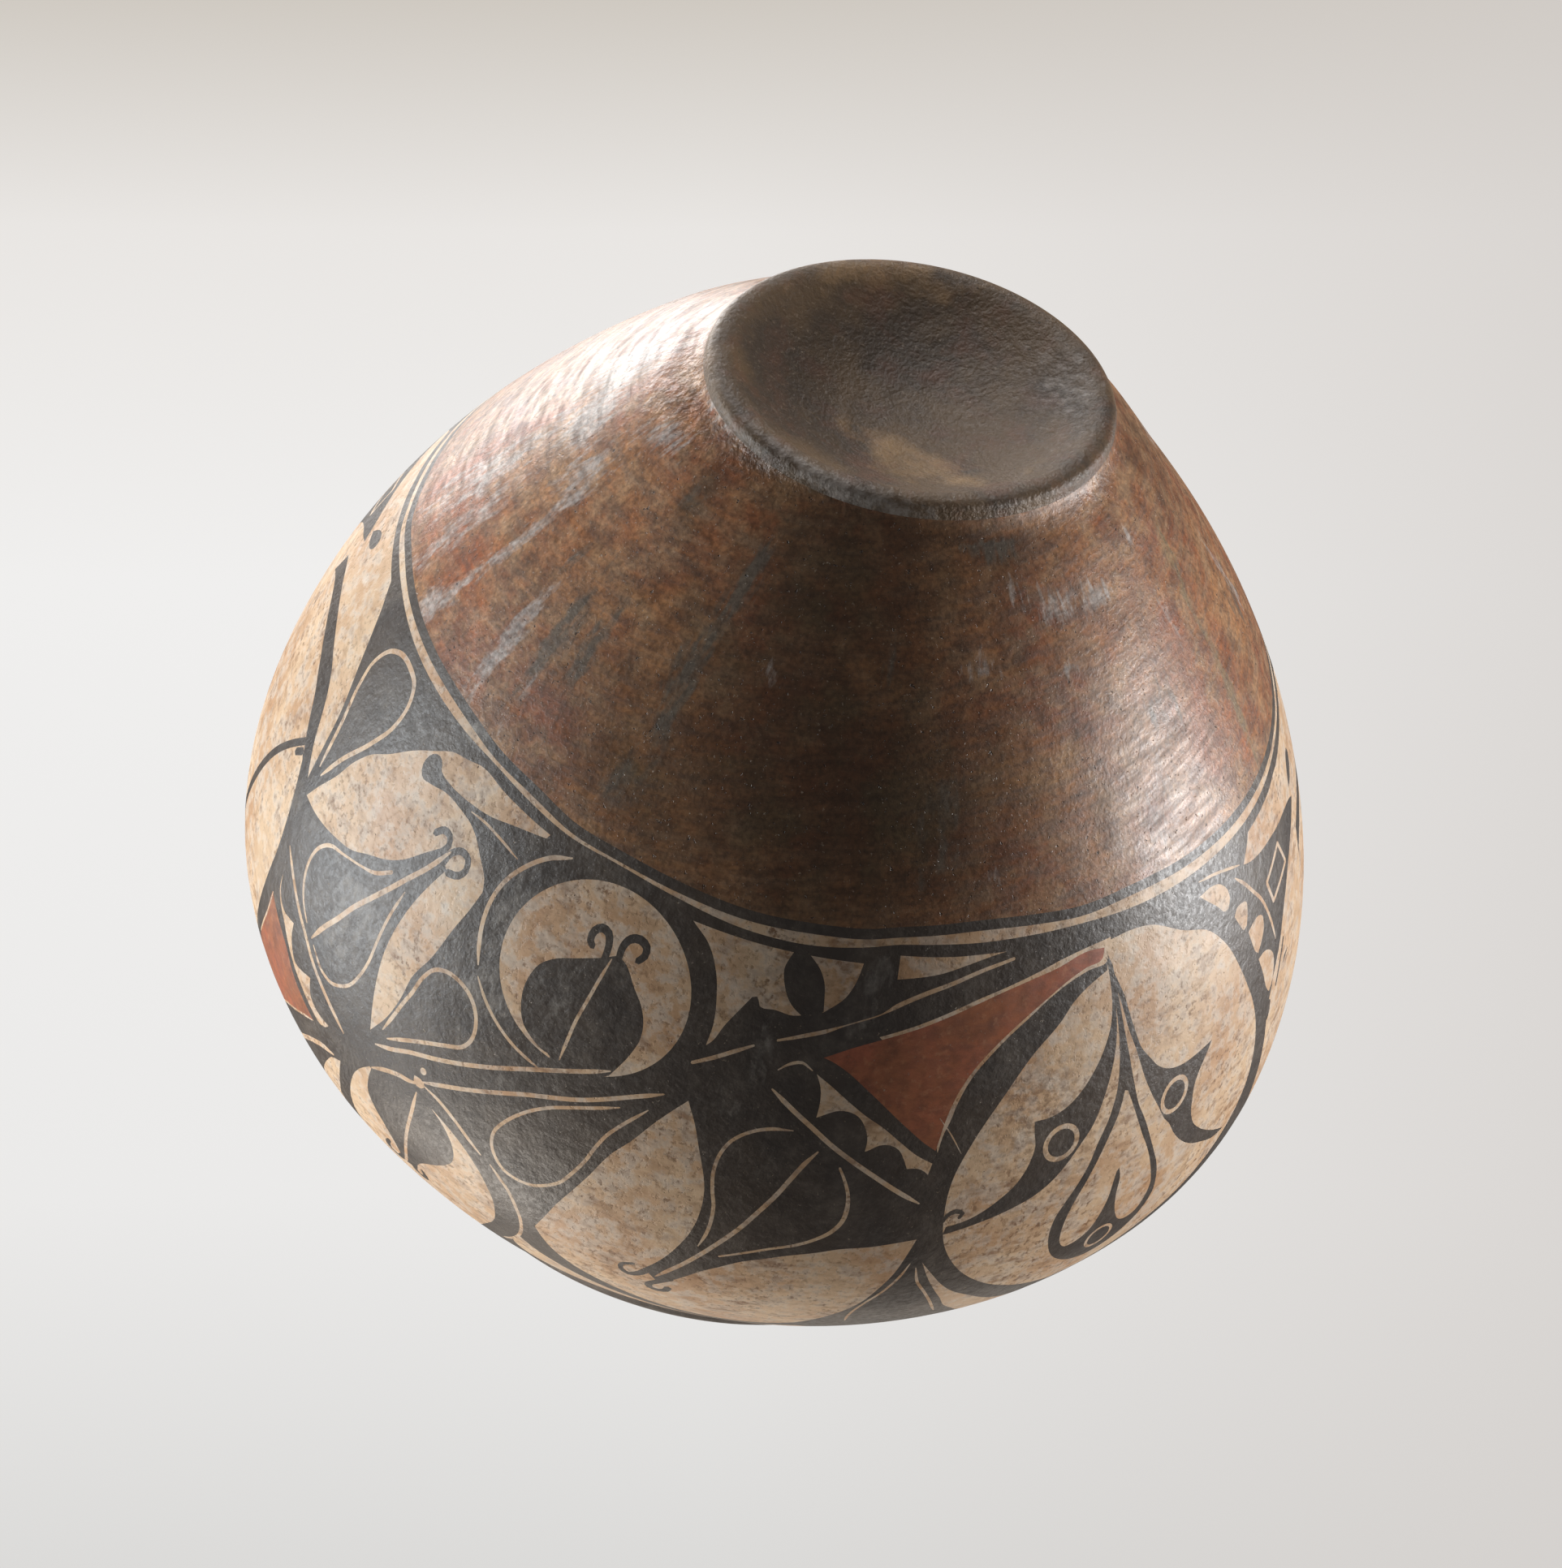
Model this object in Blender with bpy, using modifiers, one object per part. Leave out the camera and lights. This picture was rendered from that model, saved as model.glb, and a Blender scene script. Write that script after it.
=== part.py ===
"""Hand-built fired-clay water jar (olla) with a dished foot, a flaring underbody and a low rim.

Metres, +Z up. The jar stands on its foot, and the origin is the middle of the foot on the ground.
"""
from math import atan2, cos, exp, log1p, pi, radians, sin

import bmesh
import bpy

# Body, measured on the outside: one long curve up from the foot, which turns in at the shoulder
HEIGHT = 0.2928
BODY_RADIUS = 0.165
CROWN_HEIGHT = 0.1982
SHOULDER_TURN = 0.0131
SHOULDER_SOFTNESS = 0.010
LIP_RADIUS = 0.1035
NECK_HEIGHT = 0.010
NECK_LEAN = 0.0032

# Foot: a worn roll of clay round a dished base
FOOT_RADIUS = 0.0572
FOOT_ROUND = 0.0028
REST_WIDTH = 0.0030
UNDERBODY_INSET = 0.0050
WAIST_TOP = 0.017
DISH_DEPTH = 0.015
DISH_POWER = 2.2

# Clay
WALL = 0.0065
BASE_THICKNESS = 0.010

# The jar was coiled by hand: the body is barely oval, the foot more so
BODY_OVAL = 0.0078
BODY_OVAL_ANGLE = radians(73.3)
FOOT_OVAL = 0.0534
FOOT_OVAL_ANGLE = radians(148.7)
FOOT_OVAL_TOP = 0.040

# Mesh fineness
SEGMENTS = 64
DISH_STEPS = 6
ROUND_STEPS = 2
WAIST_STEPS = 4
UNDERBODY_STEPS = 11
SHOULDER_STEPS = 9
NECK_STEPS = 2
LIP_STEPS = 4
FLOOR_STEPS = 4
CORNER_STEPS = 5

CLAY_COLOR = (0.46, 0.33, 0.22, 1.0)
CLAY_ROUGHNESS = 0.45
MERGE_DISTANCE = 0.00001
SLOPE_STEP = 0.0001
SMOOTH_ANGLE = radians(40)


def soft_step(z):
    """Height above the shoulder's turn, easing in from nothing below it."""
    turn = CROWN_HEIGHT + SHOULDER_TURN
    return SHOULDER_SOFTNESS * log1p(exp((z - turn) / SHOULDER_SOFTNESS))


def body_radius(z):
    """Outer radius from the foot to the neck: a parabola, bent in above the shoulder's turn."""
    spread = BODY_RADIUS - (FOOT_RADIUS - UNDERBODY_INSET)
    neck_start = HEIGHT - NECK_HEIGHT
    at_neck = BODY_RADIUS - spread * (neck_start / CROWN_HEIGHT - 1) ** 2
    bend = (at_neck - LIP_RADIUS - NECK_LEAN) / soft_step(neck_start)
    return BODY_RADIUS - spread * (z / CROWN_HEIGHT - 1) ** 2 - bend * soft_step(z)


def neck_radius_at(z):
    """Outer radius of the low neck, which straightens up towards the lip."""
    below = (HEIGHT - z) / NECK_HEIGHT
    return LIP_RADIUS + NECK_LEAN * below ** 2


def dish_height(r):
    """Height of the dished underside at radius r."""
    edge = FOOT_RADIUS - FOOT_ROUND - REST_WIDTH
    return DISH_DEPTH * (1 - (r / edge) ** DISH_POWER)


def curve(start, start_slope, end, end_slope, steps):
    """Points of a smooth curve between two (radius, height) points, without its first point."""
    points = []
    for step in range(1, steps + 1):
        t = step / steps
        weights = (2 * t**3 - 3 * t**2 + 1, t**3 - 2 * t**2 + t, 3 * t**2 - 2 * t**3, t**3 - t**2)
        parts = (start, start_slope, end, end_slope)
        points.append(tuple(sum(w * p[axis] for w, p in zip(weights, parts)) for axis in (0, 1)))
    return points


def wall_points():
    """Outer wall from the top of the foot's waist up to where the lip starts to round over."""
    points = []
    for step in range(UNDERBODY_STEPS):
        z = WAIST_TOP + (CROWN_HEIGHT - WAIST_TOP) * step / UNDERBODY_STEPS
        points.append((body_radius(z), z))
    neck_start = HEIGHT - NECK_HEIGHT
    for step in range(SHOULDER_STEPS):
        z = CROWN_HEIGHT + (neck_start - CROWN_HEIGHT) * step / SHOULDER_STEPS
        points.append((body_radius(z), z))
    neck_end = HEIGHT - WALL / 2
    for step in range(NECK_STEPS + 1):
        z = neck_start + (neck_end - neck_start) * step / NECK_STEPS
        points.append((neck_radius_at(z), z))
    return points


def inner_wall_points(outer):
    """The outer wall moved in by the thickness of the clay, along its own normals."""
    points = []
    for index, (r, z) in enumerate(outer):
        before = outer[max(index - 1, 0)]
        after = outer[min(index + 1, len(outer) - 1)]
        angle = atan2(after[1] - before[1], after[0] - before[0])
        points.append((r - WALL * sin(angle), z + WALL * cos(angle)))
    return points


def profile_points():
    """Half section from the middle of the inner floor, up, over the lip and down to the dish."""
    outer = wall_points()
    inner = inner_wall_points(outer)
    dish_edge = FOOT_RADIUS - FOOT_ROUND - REST_WIDTH

    # Inner floor: a low dome that follows the dish, then a round corner up to the wall
    floor_radius = dish_edge / 2
    points = []
    for step in range(FLOOR_STEPS + 1):
        r = floor_radius * step / FLOOR_STEPS
        points.append((r, dish_height(r) + BASE_THICKNESS))
    corner_end = inner[1]
    reach = corner_end[0] - floor_radius
    fall = DISH_DEPTH * DISH_POWER / dish_edge * 0.5 ** (DISH_POWER - 1)
    rise = (inner[2][1] - inner[1][1]) / (inner[2][0] - inner[1][0])
    points += curve(points[-1], (reach, -fall * reach), corner_end, (reach, rise * reach), CORNER_STEPS)
    points += inner[2:]

    # Lip: a half round as thick as the wall
    lip_middle = outer[-1][0] - WALL / 2
    for step in range(1, LIP_STEPS):
        angle = pi * (1 - step / LIP_STEPS)
        points.append((lip_middle + WALL / 2 * cos(angle), HEIGHT - WALL / 2 + WALL / 2 * sin(angle)))
    points += reversed(outer)

    # Foot: a waist, a rounded roll, the flat worn ring that the jar rests on, and the dish
    waist_rise = WAIST_TOP - FOOT_ROUND
    slope = (body_radius(WAIST_TOP + SLOPE_STEP) - body_radius(WAIST_TOP)) / SLOPE_STEP
    waist_start = (-slope * waist_rise, -waist_rise)
    foot_edge = (FOOT_RADIUS, FOOT_ROUND)
    points += curve(points[-1], waist_start, foot_edge, (0, -waist_rise), WAIST_STEPS)
    for step in range(1, ROUND_STEPS + 1):
        angle = pi / 2 * step / ROUND_STEPS
        r = FOOT_RADIUS - FOOT_ROUND + FOOT_ROUND * cos(angle)
        points.append((r, FOOT_ROUND - FOOT_ROUND * sin(angle)))
    for step in range(DISH_STEPS + 1):
        r = dish_edge * (1 - step / DISH_STEPS)
        points.append((r, dish_height(r)))
    return points


def turned_mesh(name, points):
    """One closed mesh from a half section turned about Z."""
    mesh = bpy.data.meshes.new(name)
    edges = [(i, i + 1) for i in range(len(points) - 1)]
    mesh.from_pydata([(r, 0, z) for r, z in points], edges, [])
    turned = bpy.data.objects.new(name, mesh)
    bpy.context.scene.collection.objects.link(turned)
    screw = turned.modifiers.new("Turn", "SCREW")
    screw.axis = "Z"
    screw.angle = 2 * pi
    screw.steps = SEGMENTS
    screw.render_steps = SEGMENTS
    screw.use_merge_vertices = True
    screw.merge_threshold = MERGE_DISTANCE
    evaluated = turned.evaluated_get(bpy.context.evaluated_depsgraph_get())
    result = bpy.data.meshes.new_from_object(evaluated)
    bpy.data.objects.remove(turned)
    bpy.data.meshes.remove(mesh)
    return result


def make_oval(mesh):
    """Ease the round mesh into the slight ovals of the body and of the foot."""
    for vertex in mesh.vertices:
        x, y, z = vertex.co
        angle = atan2(y, x)
        t = min(max(z / FOOT_OVAL_TOP, 0), 1)
        near_foot = 1 - t * t * (3 - 2 * t)
        scale = 1 + BODY_OVAL * cos(2 * (angle - BODY_OVAL_ANGLE))
        scale += FOOT_OVAL * near_foot * cos(2 * (angle - FOOT_OVAL_ANGLE))
        vertex.co = (x * scale, y * scale, z)


def clay_material():
    material = bpy.data.materials.new("painted_clay")
    material.use_nodes = True
    shader = material.node_tree.nodes["Principled BSDF"]
    shader.inputs["Base Color"].default_value = CLAY_COLOR
    shader.inputs["Roughness"].default_value = CLAY_ROUGHNESS
    shader.inputs["Metallic"].default_value = 0.0
    return material


def split_into_triangles(mesh):
    """Triangles only, so that every face of the solid is flat."""
    shape = bmesh.new()
    shape.from_mesh(mesh)
    bmesh.ops.triangulate(shape, faces=shape.faces[:])
    shape.to_mesh(mesh)
    shape.free()


def build():
    for old in list(bpy.data.objects):
        bpy.data.objects.remove(old, do_unlink=True)
    parts = bpy.data.collections.new("olla_parts")
    bpy.context.scene.collection.children.link(parts)

    mesh = turned_mesh("olla", profile_points())
    make_oval(mesh)
    split_into_triangles(mesh)
    mesh.shade_smooth()
    mesh.set_sharp_from_angle(angle=SMOOTH_ANGLE)
    mesh.materials.append(clay_material())
    parts.objects.link(bpy.data.objects.new("olla", mesh))


build()
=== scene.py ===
# %% [markdown]
# # A painted water jar
# This script dresses the packed clay jar. The frame comes first: it is the solid that the CAD side made,
# and everything here is built in the same metres.

# %% The frame
from math import atan2, ceil, cos, exp, hypot, log1p, pi, radians, sin

import bmesh
import bpy
import numpy as np
from mathutils import Matrix, Vector, noise
from mathutils.geometry import delaunay_2d_cdt


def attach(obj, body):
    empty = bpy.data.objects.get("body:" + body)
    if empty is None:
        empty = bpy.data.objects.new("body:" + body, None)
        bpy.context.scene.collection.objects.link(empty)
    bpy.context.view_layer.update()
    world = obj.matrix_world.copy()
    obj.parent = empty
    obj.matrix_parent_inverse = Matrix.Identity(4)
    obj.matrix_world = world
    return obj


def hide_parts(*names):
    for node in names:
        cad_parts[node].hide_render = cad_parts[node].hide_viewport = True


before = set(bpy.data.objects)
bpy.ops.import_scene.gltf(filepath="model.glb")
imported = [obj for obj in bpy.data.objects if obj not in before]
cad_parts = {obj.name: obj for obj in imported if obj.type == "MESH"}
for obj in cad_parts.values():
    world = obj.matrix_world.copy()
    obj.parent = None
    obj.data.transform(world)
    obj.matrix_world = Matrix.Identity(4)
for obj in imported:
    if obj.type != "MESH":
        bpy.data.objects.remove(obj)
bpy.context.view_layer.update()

# %% [markdown]
# ## The sizes of the jar
# A coiled jar has no straight lines, so its shape is one half section that is turned about Z. The numbers
# are the same ones that made the solid: an underbody and a belly on one parabola, a shoulder that bends in,
# a low neck, and a foot with a dish pressed into it so that the jar can ride on a head.

# %% Sizes in metres
HEIGHT = 0.2928
BODY_RADIUS = 0.165
CROWN_HEIGHT = 0.1982
SHOULDER_TURN = 0.0131
SHOULDER_SOFTNESS = 0.010
LIP_RADIUS = 0.1035
NECK_HEIGHT = 0.010
NECK_LEAN = 0.0032
FOOT_RADIUS = 0.0572
FOOT_ROUND = 0.0028
REST_WIDTH = 0.0030
UNDERBODY_INSET = 0.0050
WAIST_TOP = 0.017
DISH_DEPTH = 0.015
DISH_POWER = 2.2
DISH_EDGE = FOOT_RADIUS - FOOT_ROUND - REST_WIDTH
WALL = 0.0065
BASE_THICKNESS = 0.010
BODY_OVAL = 0.0078
BODY_OVAL_ANGLE = radians(73.3)
FOOT_OVAL = 0.0534
FOOT_OVAL_ANGLE = radians(148.7)
FOOT_OVAL_TOP = 0.040


def soft_step(z):
    """Height above the shoulder's turn, easing in from nothing below it."""
    turn = CROWN_HEIGHT + SHOULDER_TURN
    return SHOULDER_SOFTNESS * log1p(exp((z - turn) / SHOULDER_SOFTNESS))


def body_radius(z):
    """Outer radius from the foot to the neck."""
    spread = BODY_RADIUS - (FOOT_RADIUS - UNDERBODY_INSET)
    neck_start = HEIGHT - NECK_HEIGHT
    at_neck = BODY_RADIUS - spread * (neck_start / CROWN_HEIGHT - 1) ** 2
    bend = (at_neck - LIP_RADIUS - NECK_LEAN) / soft_step(neck_start)
    return BODY_RADIUS - spread * (z / CROWN_HEIGHT - 1) ** 2 - bend * soft_step(z)


def outer_radius(z):
    """Outer radius from the foot's waist up to the lip."""
    if z > HEIGHT - NECK_HEIGHT:
        return LIP_RADIUS + NECK_LEAN * ((HEIGHT - z) / NECK_HEIGHT) ** 2
    return body_radius(z)


def dish_height(r):
    """Height of the dished underside at radius r."""
    return DISH_DEPTH * (1 - (r / DISH_EDGE) ** DISH_POWER)


def oval_scale(angle, z):
    """How far the hand-coiled jar departs from round, at an angle and a height."""
    t = min(max(z / FOOT_OVAL_TOP, 0), 1)
    near_foot = 1 - t * t * (3 - 2 * t)
    scale = 1 + BODY_OVAL * cos(2 * (angle - BODY_OVAL_ANGLE))
    return scale + FOOT_OVAL * near_foot * cos(2 * (angle - FOOT_OVAL_ANGLE))


print("widest radius", body_radius(CROWN_HEIGHT), "at height", CROWN_HEIGHT)

# %% [markdown]
# ## The camera
# The photograph shows the jar tipped over, with its dished base towards the lens. This part stands upright,
# so the same view is had by a camera that looks up from below and is rolled a little. Its place is given as
# angles and a distance from the middle of the jar; the small shift is the off-centre framing.

# %% Camera
PHOTO_LONG_SIDE = 1932
VIEW_RISE = radians(41.877)
VIEW_ROLL = radians(16.413)
VIEW_DISTANCE = 1.37876
VIEW_CENTRE = Vector((0, 0, 0.1485))
PIXELS_PER_METRE = 4082.4
SENSOR_MM = 36
SHIFT_PIXELS = (27.486, -34.533)

ahead = Vector((0, cos(VIEW_RISE), sin(VIEW_RISE)))
plain_up = Vector((0, sin(VIEW_RISE), -cos(VIEW_RISE)))
plain_right = Vector((-1, 0, 0))
photo_up = cos(VIEW_ROLL) * plain_up - sin(VIEW_ROLL) * plain_right
photo_right = cos(VIEW_ROLL) * plain_right + sin(VIEW_ROLL) * plain_up

camera_data = bpy.data.cameras.new("photo_camera")
camera_data.sensor_width = SENSOR_MM
camera_data.lens = PIXELS_PER_METRE * VIEW_DISTANCE * SENSOR_MM / PHOTO_LONG_SIDE
camera_data.shift_x = -SHIFT_PIXELS[0] / PHOTO_LONG_SIDE
camera_data.shift_y = SHIFT_PIXELS[1] / PHOTO_LONG_SIDE
camera_data.clip_start = 0.05
camera_data.clip_end = 30
camera = bpy.data.objects.new("photo_camera", camera_data)
bpy.context.scene.collection.objects.link(camera)
turn = Matrix((photo_right, photo_up, -ahead)).transposed()
camera.matrix_world = Matrix.Translation(VIEW_CENTRE - VIEW_DISTANCE * ahead) @ turn.to_4x4()
bpy.context.scene.camera = camera
print("camera at", [round(value, 3) for value in camera.matrix_world.translation], "lens", camera_data.lens)

# %% [markdown]
# ## Measuring along the wall
# The painter worked on a curved wall, so the picture needs its own ruler. `around` runs to the right round
# the belly, and `along` runs up the wall from the framing lines, both in millimetres. A table of the wall's
# length turns `along` back into a height.

# %% The painter's ruler
FRAMING_HEIGHT = 0.0879
WALL_TABLE_STEPS = 3000
wall_heights = np.linspace(0, HEIGHT, WALL_TABLE_STEPS + 1)
wall_radii = np.array([outer_radius(z) for z in wall_heights])
wall_steps = np.hypot(np.diff(wall_heights), np.diff(wall_radii))
wall_lengths = np.concatenate([[0], np.cumsum(wall_steps)])
framing_length = float(np.interp(FRAMING_HEIGHT, wall_heights, wall_lengths))
TURN_MM = 2 * pi * BODY_RADIUS * 1000


def height_at(along):
    return float(np.interp(along / 1000 + framing_length, wall_lengths, wall_heights))


def angle_at(around):
    return -pi / 2 - around / 1000 / BODY_RADIUS


def wall_point(around, along):
    """The point of the outer wall at a place on the painter's ruler."""
    z = height_at(along)
    angle = angle_at(around)
    r = outer_radius(z) * oval_scale(angle, z)
    return Vector((r * cos(angle), r * sin(angle), z))


print("once round the belly is", round(TURN_MM, 1), "mm")
print("the wall is", round(wall_lengths[-1] * 1000, 1), "mm long")

# %% [markdown]
# ## The painter's tools
# Potters of this tradition paint with a chewed yucca-leaf brush: long even lines, filled shapes with crisp
# edges, and small curls. Here a shape is a closed outline on the ruler above, smooth within a run of points
# and with a corner where two runs meet. A stroke is a line with a width. Nothing is raised: paint is only a
# change of material on the wall.

# %% Smooth curves and closed outlines
LINE_STEP = 1.7
LONGEST_STEP = 3.0
SHORTEST_STEP = 0.02
TAPER = 5.0
THIN_END = 0.35
CAP_LENGTH = 0.8
CREAM, BLACK, RED, BURNISHED, SOOTED, INNER = range(6)
painted = []


def curve_point(start, start_slope, end, end_slope, t):
    """The point at share t of a smooth curve that leaves and arrives with the given slopes."""
    first = start * (2 * t**3 - 3 * t**2 + 1) + start_slope * (t**3 - 2 * t**2 + t)
    return first + (end * (3 * t**2 - 2 * t**3) + end_slope * (t**3 - t**2))


def smooth_line(points):
    """Close-set points on a smooth curve through the given ones."""
    if len(points) < 3:
        return [tuple(point) for point in points]
    p = np.array(points, float)
    gaps = np.hypot(*np.diff(p, axis=0).T)
    chords = np.diff(p, axis=0) / gaps[:, None]
    slopes = np.empty_like(p)
    slopes[0] = chords[0]
    slopes[-1] = chords[-1]
    before = gaps[:-1, None]
    after = gaps[1:, None]
    slopes[1:-1] = (after * chords[:-1] + before * chords[1:]) / (before + after)
    line = [tuple(p[0])]
    for i, gap in enumerate(gaps):
        steps = max(1, ceil(gap / LINE_STEP))
        for step in range(1, steps + 1):
            point = curve_point(p[i], slopes[i] * gap, p[i + 1], slopes[i + 1] * gap, step / steps)
            line.append(tuple(point))
    return line


def close_up(points):
    """A closed outline without doubled points or long straight steps."""
    closed = []
    for here, after in zip(points, points[1:] + points[:1]):
        gap = hypot(after[0] - here[0], after[1] - here[1])
        if gap < SHORTEST_STEP:
            continue
        steps = ceil(gap / LONGEST_STEP)
        for step in range(steps):
            t = step / steps
            closed.append((here[0] + (after[0] - here[0]) * t, here[1] + (after[1] - here[1]) * t))
    return closed


print("a smooth line through three points has", len(smooth_line([(0, 0), (20, 10), (40, 0)])), "points")


# %% Fills, strokes and discs
def paint(colour, outline, repeat=True):
    """Lays a colour on an outline, over what is already there, and again half a turn away."""
    painted.append((colour, np.array(close_up(outline))))
    if repeat:
        painted.append((colour, painted[-1][1] + (TURN_MM / 2, 0)))


def fill(colour, *runs):
    """A filled shape: smooth within each run, with a corner at its end, where the next run sets out."""
    outline = []
    corner = []
    for run in runs:
        outline += smooth_line(corner + run)
        corner = run[-1:]
    paint(colour, outline)


def stroke(colour, width, points):
    """A line, with one width or one for each point. A cream line of one width thins out at its ends."""
    line = np.array(smooth_line(points))
    widths = [width] * len(points) if isinstance(width, (int, float)) else width
    lengths = np.concatenate([[0], np.cumsum(np.hypot(*np.diff(line, axis=0).T))])
    marks = [lengths[np.hypot(*(line - point).T).argmin()] for point in np.array(points, float)]
    halves = np.interp(lengths, marks, widths)[:, None] / 2
    if colour == CREAM and widths[1:] == widths[:-1] and len(points) > 2:
        to_end = np.minimum(lengths, lengths[-1] - lengths)[:, None]
        halves = halves * np.clip(THIN_END + (1 - THIN_END) * to_end / TAPER, 0, 1)
    heading = np.gradient(line, axis=0)
    heading /= np.hypot(*heading.T)[:, None]
    side = np.stack([-heading[:, 1], heading[:, 0]], axis=1)
    left = [tuple(point) for point in line + side * halves]
    right = [tuple(point) for point in line - side * halves]
    start_cap = tuple(line[0] - heading[0] * halves[0] * CAP_LENGTH)
    end_cap = tuple(line[-1] + heading[-1] * halves[-1] * CAP_LENGTH)
    paint(colour, [start_cap] + left + [end_cap] + right[::-1])


def disc(colour, centre, radius, stretch=1.0):
    """A round spot; stretch is its width over its height."""
    steps = max(10, ceil(2 * pi * radius / LINE_STEP))
    angles = [2 * pi * step / steps for step in range(steps)]
    paint(colour, [(centre[0] + radius * stretch * cos(a), centre[1] + radius * sin(a)) for a in angles])


print("painter's tools ready")

# %% [markdown]
# ## The framing lines and the ground
# Two thin black lines part the painted band from the stone-polished underbody. The painter drew them
# freehand, so they rise and fall by a few millimetres on their way round. Below them lies the black ground
# that all the cream panels sit in.

# %% Framing lines
GAP_TOP = [(-250, 3.7), (-240, 4), (-220, 2.8), (-200, 2.4), (-170, 1.8), (-130, 1.7), (-110, 2.7),
           (-90, 3), (-70, 4.6), (-50, 4.4), (-30, 4.7), (0, 5.1), (20, 4.3), (40, 3.3), (50, 2),
           (60, 1.2), (80, -0.1), (100, 0), (120, 0.6), (140, 0), (180, 1.2), (220, 2.4), (250, 3.6)]
GAP_BOTTOM = [(-250, 5.5), (-240, 6), (-220, 5.3), (-200, 4.7), (-170, 4.6), (-130, 4.2), (-110, 3.8),
              (-90, 4.7), (-70, 5.7), (-50, 5.2), (-30, 6), (0, 7.7), (20, 7.5), (40, 5.5), (50, 4),
              (60, 3.6), (80, 3.3), (100, 2.8), (120, 2.7), (140, 3.4), (180, 4.4), (220, 5.3), (250, 5.9)]
LINE_WIDTH = 3.0
BAND_START = -6.0
BAND_END = 221.0
PAST_BAND = 5.0
GROUND_END = 194.0


def round_the_jar(points):
    """A line through the given points and their repeat, once round the jar."""
    lap = points[:-1] + [(around + TURN_MM / 2, along) for around, along in points[:-1]]
    line = smooth_line(lap + [(points[0][0] + TURN_MM, points[0][1])])
    return line[:-1] + [(line[0][0] + TURN_MM, line[0][1])]


def moved(points, down):
    return [(around, along + down) for around, along in points]


def hoop(colour, upper, lower):
    """A band of colour all the way round, between two lines."""
    paint(colour, upper + lower[::-1], repeat=False)


gap_top = round_the_jar(GAP_TOP)
gap_bottom = round_the_jar(GAP_BOTTOM)
start_line = [(gap_top[0][0], BAND_START - PAST_BAND), (gap_top[-1][0], BAND_START - PAST_BAND)]
hoop(BURNISHED, start_line, moved(gap_top, -LINE_WIDTH))
hoop(BLACK, moved(gap_top, -LINE_WIDTH), gap_top)
hoop(BLACK, gap_bottom, [(around, GROUND_END) for around, along in gap_bottom])
print(len(painted), "hoops painted")

# %% [markdown]
# ## The upper left: arch, stem and black block with a drop
# A cream field opens at the left edge of the picture, crossed by a black arch whose right leg runs down as
# a stem. To its right stands a black triangle with a thin cream drop drawn inside it.

# %% Arch, stem and drop
fill(CREAM,
     [(-290, 9), (-265, 9), (-240, 8.8), (-213, 9)],
     [(-203, 14.5), (-197, 19.5), (-190, 27), (-181, 40), (-178, 50), (-175.8, 62)],
     [(-184, 60), (-190, 64), (-215, 62), (-304, 62)])
fill(CREAM,
     [(-304, 60), (-250, 56), (-200, 56), (-184, 62)],
     [(-181, 66), (-177, 73), (-174.5, 80), (-173, 88), (-173.4, 100), (-178, 125), (-186, 145),
      (-200, 160), (-222, 168), (-250, 165), (-275, 152), (-294, 133), (-303, 110), (-304, 90)])
fill(BLACK,
     [(-178, 60), (-184, 54), (-189, 48), (-194, 43.5), (-200, 40.2), (-210, 37.8), (-220, 36.2),
      (-240, 35.5), (-250, 36.3), (-265, 41), (-280, 52), (-290, 66)],
     [(-284, 64), (-275, 55), (-265, 50), (-250, 43), (-240, 41.5), (-230, 42), (-220, 43.5), (-210, 46),
      (-200, 50), (-195, 53.5), (-190, 57.3), (-185, 61)],
     [(-175.8, 62), (-178, 60)])
stroke(BLACK, [2.5, 2.6, 2.8, 3.2, 3.5, 3.2], [(-188, 58), (-196, 67), (-203, 77), (-208, 87), (-212, 97),
       (-219, 118)])
stroke(BLACK, 2.5, [(-186.5, 61), (-190, 64.3)])
fill(BLACK, [(-256, 24), (-252, 19.5), (-247, 17), (-243, 17.5), (-242, 20), (-244, 22), (-250, 24)])
stroke(CREAM, 1.7, [(-173.5, 55), (-175, 48), (-177, 41), (-183, 28), (-184.8, 22), (-182.5, 14.5),
       (-177, 10.5), (-168, 9), (-160, 10.5), (-156, 15), (-155, 22.5), (-158.5, 32), (-166, 45.5),
       (-170.5, 56)])
print(len(painted), "painted shapes so far")

# %% [markdown]
# ## The large leaf
# A broad cream panel holds a dark leaf on a stalk, with its midrib and its veins left in cream, and a long
# hooked band that ends in a knob. The two curls at the leaf's foot are quick turns of the brush.

# %% Large leaf
fill(CREAM,
     [(-171.5, 65), (-168, 58), (-163.5, 50), (-160, 41), (-155, 33.7), (-150, 29.5), (-140, 20),
      (-133, 15), (-127, 11), (-120, 9), (-114, 7.2), (-100, 7.7), (-85, 8.3), (-77, 8.6)],
     [(-82, 20), (-88, 33)],
     [(-89.5, 42), (-91, 48), (-94, 62), (-97, 70), (-98, 80), (-100, 88), (-104.3, 97)],
     [(-130, 75), (-171.5, 65)])
fill(BLACK,
     [(-171.5, 65), (-165, 64.5), (-148, 60.8), (-140, 58.2), (-133, 54), (-125, 49.5), (-120, 45.5),
      (-114, 38.5), (-110, 34)],
     [(-103.5, 37)],
     [(-106, 44), (-108, 51), (-109.3, 58), (-110, 66), (-109.8, 73), (-108.5, 81), (-104.3, 97)],
     [(-140, 100), (-171.5, 65)])
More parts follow.
